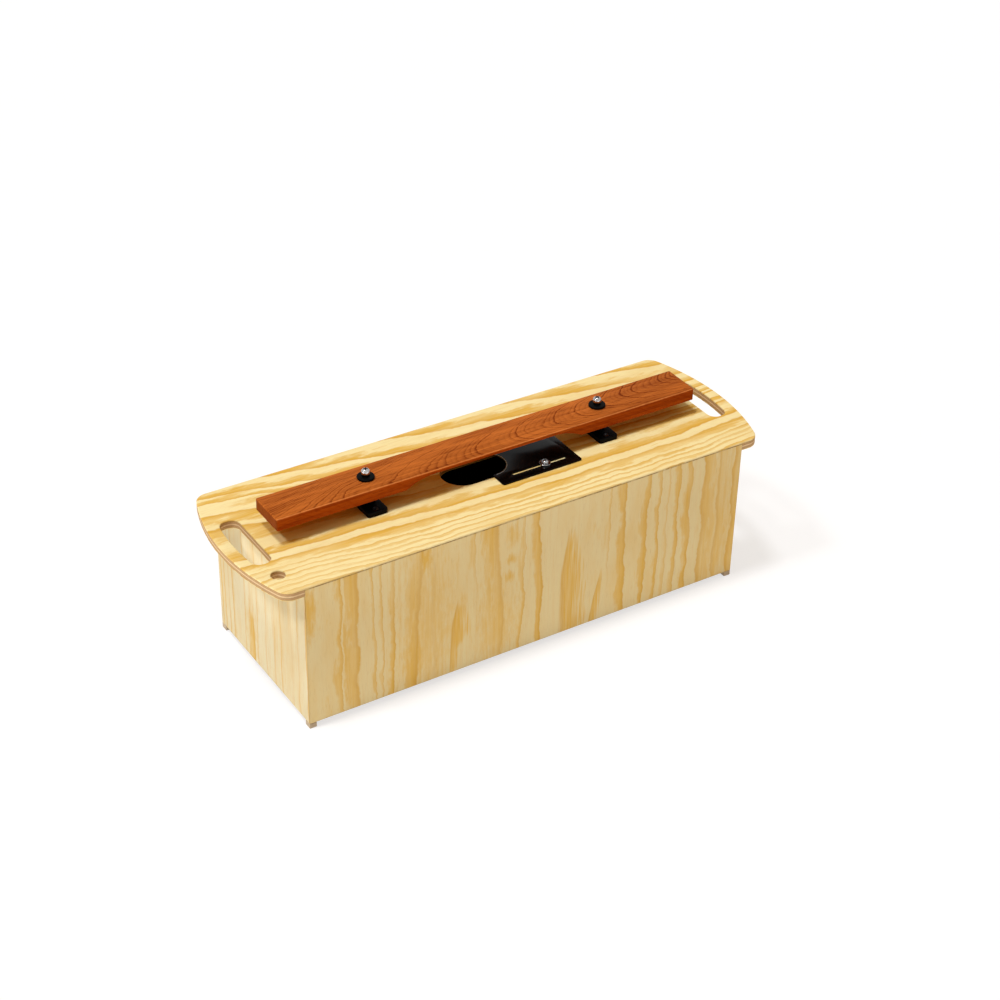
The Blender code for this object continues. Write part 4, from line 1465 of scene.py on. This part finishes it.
bar_size = bar_high - bar_low
bar = object_from(bmesh.new(), "bar_blank")
bar.location = (bar_low + bar_high) / 2
run_tree(bar, undercut, {
    "Length": bar_size.x,
    "Width": bar_size.y,
    "Thickness": bar_size.z,
    "Middle": BAR_MIDDLE,
    "Mouth": UNDERCUT_LENGTH,
    "Radius": UNDERCUT_RADIUS,
    "Slices": BAR_SLICES,
    "Upper Arris": UPPER_ARRIS,
    "Lower Arris": LOWER_ARRIS,
    "Finish": hardwood,
})
rounded_edges(bar, BAR_CORNER, 5, "WEIGHT")
bar.data = evaluated_mesh(bar)
bar.modifiers.clear()
grommet_places = [middle(hand + "_bar_grommet") for hand in HANDS]
bores = [rod(BAR_HOLE_RADIUS, -bar_size.z, bar_size.z, place) for place in grommet_places]
combine(bar, bores, "DIFFERENCE")
bar = finished(bar, "tone_bar_sanded", hardwood, "bar", ["tone_bar"])
print(bar.name, len(bar.data.polygons), "faces")

# %% [markdown]
# ## The tuning slider
# The slider is a thin satin black sheet with a half-round notch and two guide slots. It is cut from
# outlines like the plate, with a hair of a bevel. The arris along the notch catches the light, and it
# is too thin to show as a bevel, so the finish paints that highlight as a narrow bright ring.

# %% Slider finish
NOTCH_HALF = 0.029
NOTCH_DEPTH = 0.0345
NOTCH_RIM = 0.0011
RIM_SOFTNESS = 0.0002

slider_low, slider_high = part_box("tuning_slider")
notch_centre = slider_low.x + NOTCH_DEPTH - NOTCH_HALF


def notch_rim(place):
    """1 on the bright arris along the round part of the slider's notch."""
    parts = split(place)
    along = minus(parts[0], notch_centre)
    away = distance(along, parts[1])
    rim = within(away, NOTCH_HALF, NOTCH_HALF + NOTCH_RIM, RIM_SOFTNESS)
    return product(rim, ramp(along, -NOTCH_RIM, NOTCH_RIM))


# Painted highlight: the arris of the notch is coloured pale blue-white.
black_sheet = small_finish(
    "slider_black", (0.0003, 0.0003, 0.0003), (0.0008, 0.0008, 0.0008), rough=0.18, duller=0.05,
    grain_size=0.0005, scuff_length=0.03, depth=0.000003, specular=0.11,
    painted_light=(0.52, 0.64, 0.80), mask=notch_rim,
)
print("finish:", black_sheet.name)

# %% Tuning slider
SLIDER_CORNER = 0.003
SLIDER_EDGE = 0.0003
GUIDE_SLOT_START = 0.0241
GUIDE_SLOT_END = 0.0166
GUIDE_SLOT_RADIUS = 0.0023
SIDES = ("front", "back")


def corner_arcs(low, high, radius, steps):
    """The four round corners of a rectangle, one after another from the right front one."""
    x_low, y_low = low[0] + radius, low[1] + radius
    x_high, y_high = high[0] - radius, high[1] - radius
    centres = ((x_high, y_low), (x_high, y_high), (x_low, y_high), (x_low, y_low))
    return [arc(centre, radius, 90 * turn, 90 * turn + 90, steps) for turn, centre in enumerate(centres, -1)]


corners = corner_arcs(slider_low, slider_high, SLIDER_CORNER, 8)
slider_outline = corners[3] + corners[0] + corners[1] + corners[2]
slider_outline += [(slider_low.x, NOTCH_HALF)]
slider_outline += arc((notch_centre, 0.0), NOTCH_HALF, 90, -90, 64)
slider_outline += [(slider_low.x, -NOTCH_HALF)]
slot_run = (slider_low.x + GUIDE_SLOT_START, slider_high.x - GUIDE_SLOT_END)
guide_slots = [oblong(*slot_run, GUIDE_SLOT_RADIUS, middle("slider_screw_" + side)[1]) for side in SIDES]
slider = flat_sheet("slider_blank", [slider_outline] + guide_slots, slider_low.z, slider_high.z, SLIDER_EDGE)
slider = finished(slider, "slider_sheet", black_sheet, "slider", ["tuning_slider"])
print(slider.name, len(slider.data.polygons), "faces")

# %% [markdown]
# ## A tree that sets out parts
# Screws, washers, grommets, sleeves, cushions, supports and pads all come more than once. Each is
# modelled once, at the origin, and a Geometry Nodes tree sets it on the points of a small mesh. Screws
# are turned by a random angle from a fixed seed, so that no two cross recesses line up. The tree ends
# with real geometry and a finish, because instances would be lost on the way out.

# %% Tree for repeated parts
set_out_tree, given = geometry_tree("Set out parts", {
    "Part": "Object",
    "Finish": "Material",
    "Turn": 0.0,
    "Seed": 1,
})
points = add(set_out_tree, "GeometryNodeMeshToPoints", {0: given["Geometry"]})
part = add(set_out_tree, "GeometryNodeObjectInfo", {"Object": given["Part"], "As Instance": True})
swing = add(set_out_tree, "FunctionNodeRandomValue", {3: given["Turn"], 8: given["Seed"]}, data_type="FLOAT")
upright = joined(0.0, 0.0, swing.outputs[1])
copies = add(set_out_tree, "GeometryNodeInstanceOnPoints", {
    "Points": points.outputs[0],
    "Instance": part.outputs["Geometry"],
    "Rotation": add(set_out_tree, "FunctionNodeEulerToRotation", {0: upright}).outputs[0],
})
solid = add(set_out_tree, "GeometryNodeRealizeInstances", {0: copies.outputs[0]})
put_out_dressed(set_out_tree, solid.outputs[0], given["Finish"])


def set_out(part, name, material, groups, level, turn=0.0, seed=1):
    """Sets a part at the places of some nodes, one piece for each body. The part then goes."""
    for body, labels in groups.items():
        shape = bmesh.new()
        for node in labels:
            shape.verts.new((*middle(node), level))
        piece_name = name if len(groups) == 1 else name + "_" + body
        marks = object_from(shape, piece_name + "_marks")
        run_tree(marks, set_out_tree, {"Part": part, "Finish": material, "Turn": turn, "Seed": seed})
        piece = finished(marks, piece_name, material, body, labels)
        print(piece.name, "at", len(labels), "places,", len(piece.data.polygons), "faces")
    bpy.data.objects.remove(part)


def both_hands(kind):
    """The names of a pair of nodes, the left and the right one."""
    return [hand + "_" + kind for hand in HANDS]


def column(node):
    """A turned node's foot level, radius and height, from its box."""
    low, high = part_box(node)
    return low.z, (high.x - low.x) / 2, high.z - low.z


# %% [markdown]
# ## Supports and pads
# A support is a flat base with round corners and a tower in the middle, joined, with a bore for the bar
# screw and two countersinks. The pads under the box are small blocks with soft edges.

# %% Supports
SUPPORT_CORNER = 0.004
SUPPORT_EDGE = 0.0006
SUPPORT_HEIGHT = 0.0066
TOWER_RADIUS = 0.012
TOWER_EDGE = 0.0006
SUPPORT_BORE_RADIUS = 0.0028
COUNTERSINK_RADIUS = 0.0043
COUNTERSINK_RIM = 0.0007

support_low, support_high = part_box("left_bar_support")
support_size = support_high - support_low
screw_y = middle("left_support_screw_back")[1]
base_outline = sum(corner_arcs(-support_size / 2, support_size / 2, SUPPORT_CORNER, 10), [])
support = flat_sheet("support_part", [base_outline], 0.0, SUPPORT_HEIGHT, SUPPORT_EDGE)
tower_top = arc((TOWER_RADIUS - TOWER_EDGE, support_size.z - TOWER_EDGE), TOWER_EDGE, 0, 90, 4)
tower_foot = [(0.0, SUPPORT_HEIGHT / 2), (TOWER_RADIUS, SUPPORT_HEIGHT / 2)]
combine(support, [turned(tower_foot + tower_top + [(0.0, support_size.z)])], "UNION")
shank = SMALL_SCREW_RADIUS + CLEARANCE
rim = SUPPORT_HEIGHT - COUNTERSINK_RIM
countersink = [
    (0.0, SUPPORT_HEIGHT + PAST),
    (COUNTERSINK_RADIUS, SUPPORT_HEIGHT + PAST),
    (COUNTERSINK_RADIUS, rim),
    (shank, rim - COUNTERSINK_RADIUS + shank),
    (shank, -PAST),
    (0.0, -PAST),
]
holes = [rod(SUPPORT_BORE_RADIUS, -PAST, support_size.z + PAST)]
holes += [turned(countersink, (0.0, side * screw_y)) for side in (-1, 1)]
combine(support, holes, "DIFFERENCE")
supports = {"box": both_hands("bar_support")}
set_out(support, "bar_supports", moulded_black, supports, support_low.z)

# %% Pads
PAD_EDGE = 0.0008

pad_low, pad_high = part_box("foot_front_left")
pad_half = (pad_high - pad_low) / 2
pad = object_from(prism(rectangle(pad_half.x, pad_half.y), 0.0, pad_high.z), "pad_part")
rounded_edges(pad, PAD_EDGE, 4)
pads = {"box": ["foot_" + side + "_" + hand for side in SIDES for hand in HANDS]}
set_out(pad, "corner_pads", foot_felt, pads, pad_low.z)

# %% [markdown]
# ## Cushions, grommets and sleeves
# These are turned parts, each one a profile spun about its axis. The grommet's flange and the cushion
# have full round edges, as moulded rubber has, and the sleeve is a plain tube with small chamfers.

# %% Turned soft parts
SOFT_EDGE = 0.0012
GROMMET_FLANGE = 0.0035
GROMMET_BORE_RADIUS = 0.0053
GROMMET_NECK_RADIUS = 0.0067
SLEEVE_RADIUS = 0.0050
SLEEVE_BORE_RADIUS = 0.0028
SLEEVE_CHAMFER = 0.0005


def ring_section(inner, outer, low, high, edge):
    """The section of a ring whose two outer edges are rounded, from its bore up and round."""
    top = arc((outer - edge, high - edge), edge, 90, 0, 6)
    foot = arc((outer - edge, low + edge), edge, 0, -90, 6)
    return [(inner, low), (inner, high)] + top + foot


level, radius, height = column("left_bar_cushion")
cushion_profile = ring_section(GROMMET_BORE_RADIUS, radius, 0.0, height, SOFT_EDGE)
cushion = object_from(turned(cushion_profile), "cushion_part")
set_out(cushion, "bar_cushions", rubber_black, {"box": both_hands("bar_cushion")}, level)

level, radius, height = column("left_bar_grommet")
flange_level = height - GROMMET_FLANGE
flange = ring_section(GROMMET_BORE_RADIUS, radius, flange_level, flange_level + GROMMET_FLANGE, SOFT_EDGE)
neck = [(GROMMET_NECK_RADIUS, flange_level), (GROMMET_NECK_RADIUS, 0.0)]
grommet = object_from(turned([(GROMMET_BORE_RADIUS, 0.0)] + flange[1:] + neck), "grommet_part")
set_out(grommet, "bar_grommets", rubber_black, {"bar": both_hands("bar_grommet")}, level)

level, _, height = column("left_bar_sleeve")
sleeve_profile = [
    (SLEEVE_BORE_RADIUS, 0.0),
    (SLEEVE_BORE_RADIUS, height),
    (SLEEVE_RADIUS - SLEEVE_CHAMFER, height),
    (SLEEVE_RADIUS, height - SLEEVE_CHAMFER),
    (SLEEVE_RADIUS, SLEEVE_CHAMFER),
    (SLEEVE_RADIUS - SLEEVE_CHAMFER, 0.0),
]
sleeve = object_from(turned(sleeve_profile), "sleeve_part")
set_out(sleeve, "bar_sleeves", moulded_black, {"box": both_hands("bar_sleeve")}, level)

# %% [markdown]
# ## Screws and washers
# A screw is turned too, and its cross recess is cut with a tapered cross. The bar screws and the slider
# screws have high domed heads, the support screws are countersunk. The bar is held without touching
# its screws, so the heads stand clear of the grommets. The faces of each recess are marked, so that the
# finish can paint shade into them.

# %% Cross recess
RECESS_SPAN = 0.66
RECESS_WIDTH = 0.17
RECESS_DEPTH = 0.50
RECESS_TAPER = 0.55
RECESS_MARGIN = 1.1


def cross_recess(head_radius, depth, top):
    """The cutter for a driver recess: a cross that narrows with depth."""
    arm = head_radius * RECESS_SPAN
    side = head_radius * RECESS_WIDTH
    quarter = [(arm, -side), (arm, side), (side, side)]
    outline = []
    for _ in range(4):
        outline += quarter
        quarter = [(-y, x) for x, y in quarter]
    shape = bmesh.new()
    levels = ((top - depth, RECESS_TAPER), (top + PAST, 1.0 + PAST / depth * (1.0 - RECESS_TAPER)))
    loops = [[shape.verts.new((x * scale, y * scale, z)) for x, y in outline] for z, scale in levels]
    for index in range(len(outline)):
        shape.faces.new((loops[0][index - 1], loops[0][index], loops[1][index], loops[1][index - 1]))
    for loop in loops:
        shape.faces.new(loop)
    bmesh.ops.recalc_face_normals(shape, faces=shape.faces)
    return shape


def cut_recess(screw, head_radius, depth, top, surface):
    """Cuts the recess and marks its faces, which lie below the head's own surface."""
    combine(screw, [cross_recess(head_radius, depth, top)], "DIFFERENCE")
    deep = screw.data.attributes.new(RECESS, "FLOAT", "FACE")
    widest = head_radius * RECESS_SPAN * RECESS_MARGIN
    lowest = top - depth * RECESS_MARGIN
    for face in screw.data.polygons:
        reach = Vector(face.center.xy).length
        inside = reach < widest and lowest < face.center.z < surface(reach) - CLEARANCE
        deep.data[face.index].value = 1.0 if inside else 0.0


print("recess spans", RECESS_SPAN, "of a head")

# %% Domed screws
BAR_HEAD_HEIGHT = 0.0075
LOCK_HEAD_HEIGHT = 0.0045
DOME_RIM = 0.33
RIM_CHAMFER = 0.2
QUARTER_TURN = radians(90.0)


def dome_screw(name, node, head_height, shank_radius):
    """A screw with a domed head, seated at height 0, sized from a node's box. Also says where it seats."""
    low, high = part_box(node)
    head = (high.x - low.x) / 2
    seat = high.z - head_height
    rim = head_height * DOME_RIM
    chamfer = rim * RIM_CHAMFER
    dome = arc((0.0, 0.0), 1.0, 90, 0, 16)
    profile = [(head * x, rim + (head_height - rim) * y) for x, y in dome]
    profile += [(head, chamfer), (head - chamfer, 0.0), (shank_radius, 0.0)]
    profile += [(shank_radius, low.z - seat + shank_radius), (0.0, low.z - seat)]
    screw = object_from(turned(profile), name)

    def dome_height(reach):
        """The dome's height at a distance from its axis."""
        return rim + (head_height - rim) * sqrt(max(0.0, 1.0 - (reach / head) ** 2))

    cut_recess(screw, head, head_height * RECESS_DEPTH, head_height, dome_height)
    return screw, seat


bar_screw, seat = dome_screw("bar_screw_part", "left_bar_screw", BAR_HEAD_HEIGHT, BAR_SCREW_RADIUS)
bar_screws = {"box": both_hands("bar_screw")}
set_out(bar_screw, "bar_screws", nickel, bar_screws, seat, QUARTER_TURN, 4)

lock_screw, seat = dome_screw("lock_screw_part", "slider_screw_front", LOCK_HEAD_HEIGHT, LOCK_SCREW_RADIUS)
locks = {side + "_lock": ["slider_screw_" + side] for side in SIDES}
set_out(lock_screw, "slider_screw", nickel, locks, seat, QUARTER_TURN, 7)

# %% Washers and flat screws
FLAT_HEAD_RIM = 0.0004

level, radius, height = column("slider_washer_front")
washer_profile = ring_section(LOCK_SCREW_RADIUS + CLEARANCE, radius, 0.0, height, height / 4)
washer = object_from(turned(washer_profile), "washer_part")
washers = {side + "_lock": ["slider_washer_" + side] for side in SIDES}
set_out(washer, "slider_washer", nickel, washers, level)

flat_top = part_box("left_support_screw_front")[1].z
_, flat_head, flat_length = column("left_support_screw_front")
cone = FLAT_HEAD_RIM + flat_head - SMALL_SCREW_RADIUS
flat_profile = [
    (0.0, 0.0),
    (flat_head, 0.0),
    (flat_head, -FLAT_HEAD_RIM),
    (SMALL_SCREW_RADIUS, -cone),
    (SMALL_SCREW_RADIUS, SMALL_SCREW_RADIUS - flat_length),
    (0.0, -flat_length),
]
flat_screw = object_from(turned(flat_profile), "flat_screw_part")
cut_recess(flat_screw, flat_head, cone * RECESS_DEPTH, 0.0, lambda reach: 0.0)
flat_screws = {"box": [hand + "_support_screw_" + side for hand in HANDS for side in SIDES]}
set_out(flat_screw, "support_screws", dark_steel, flat_screws, flat_top, QUARTER_TURN, 2)
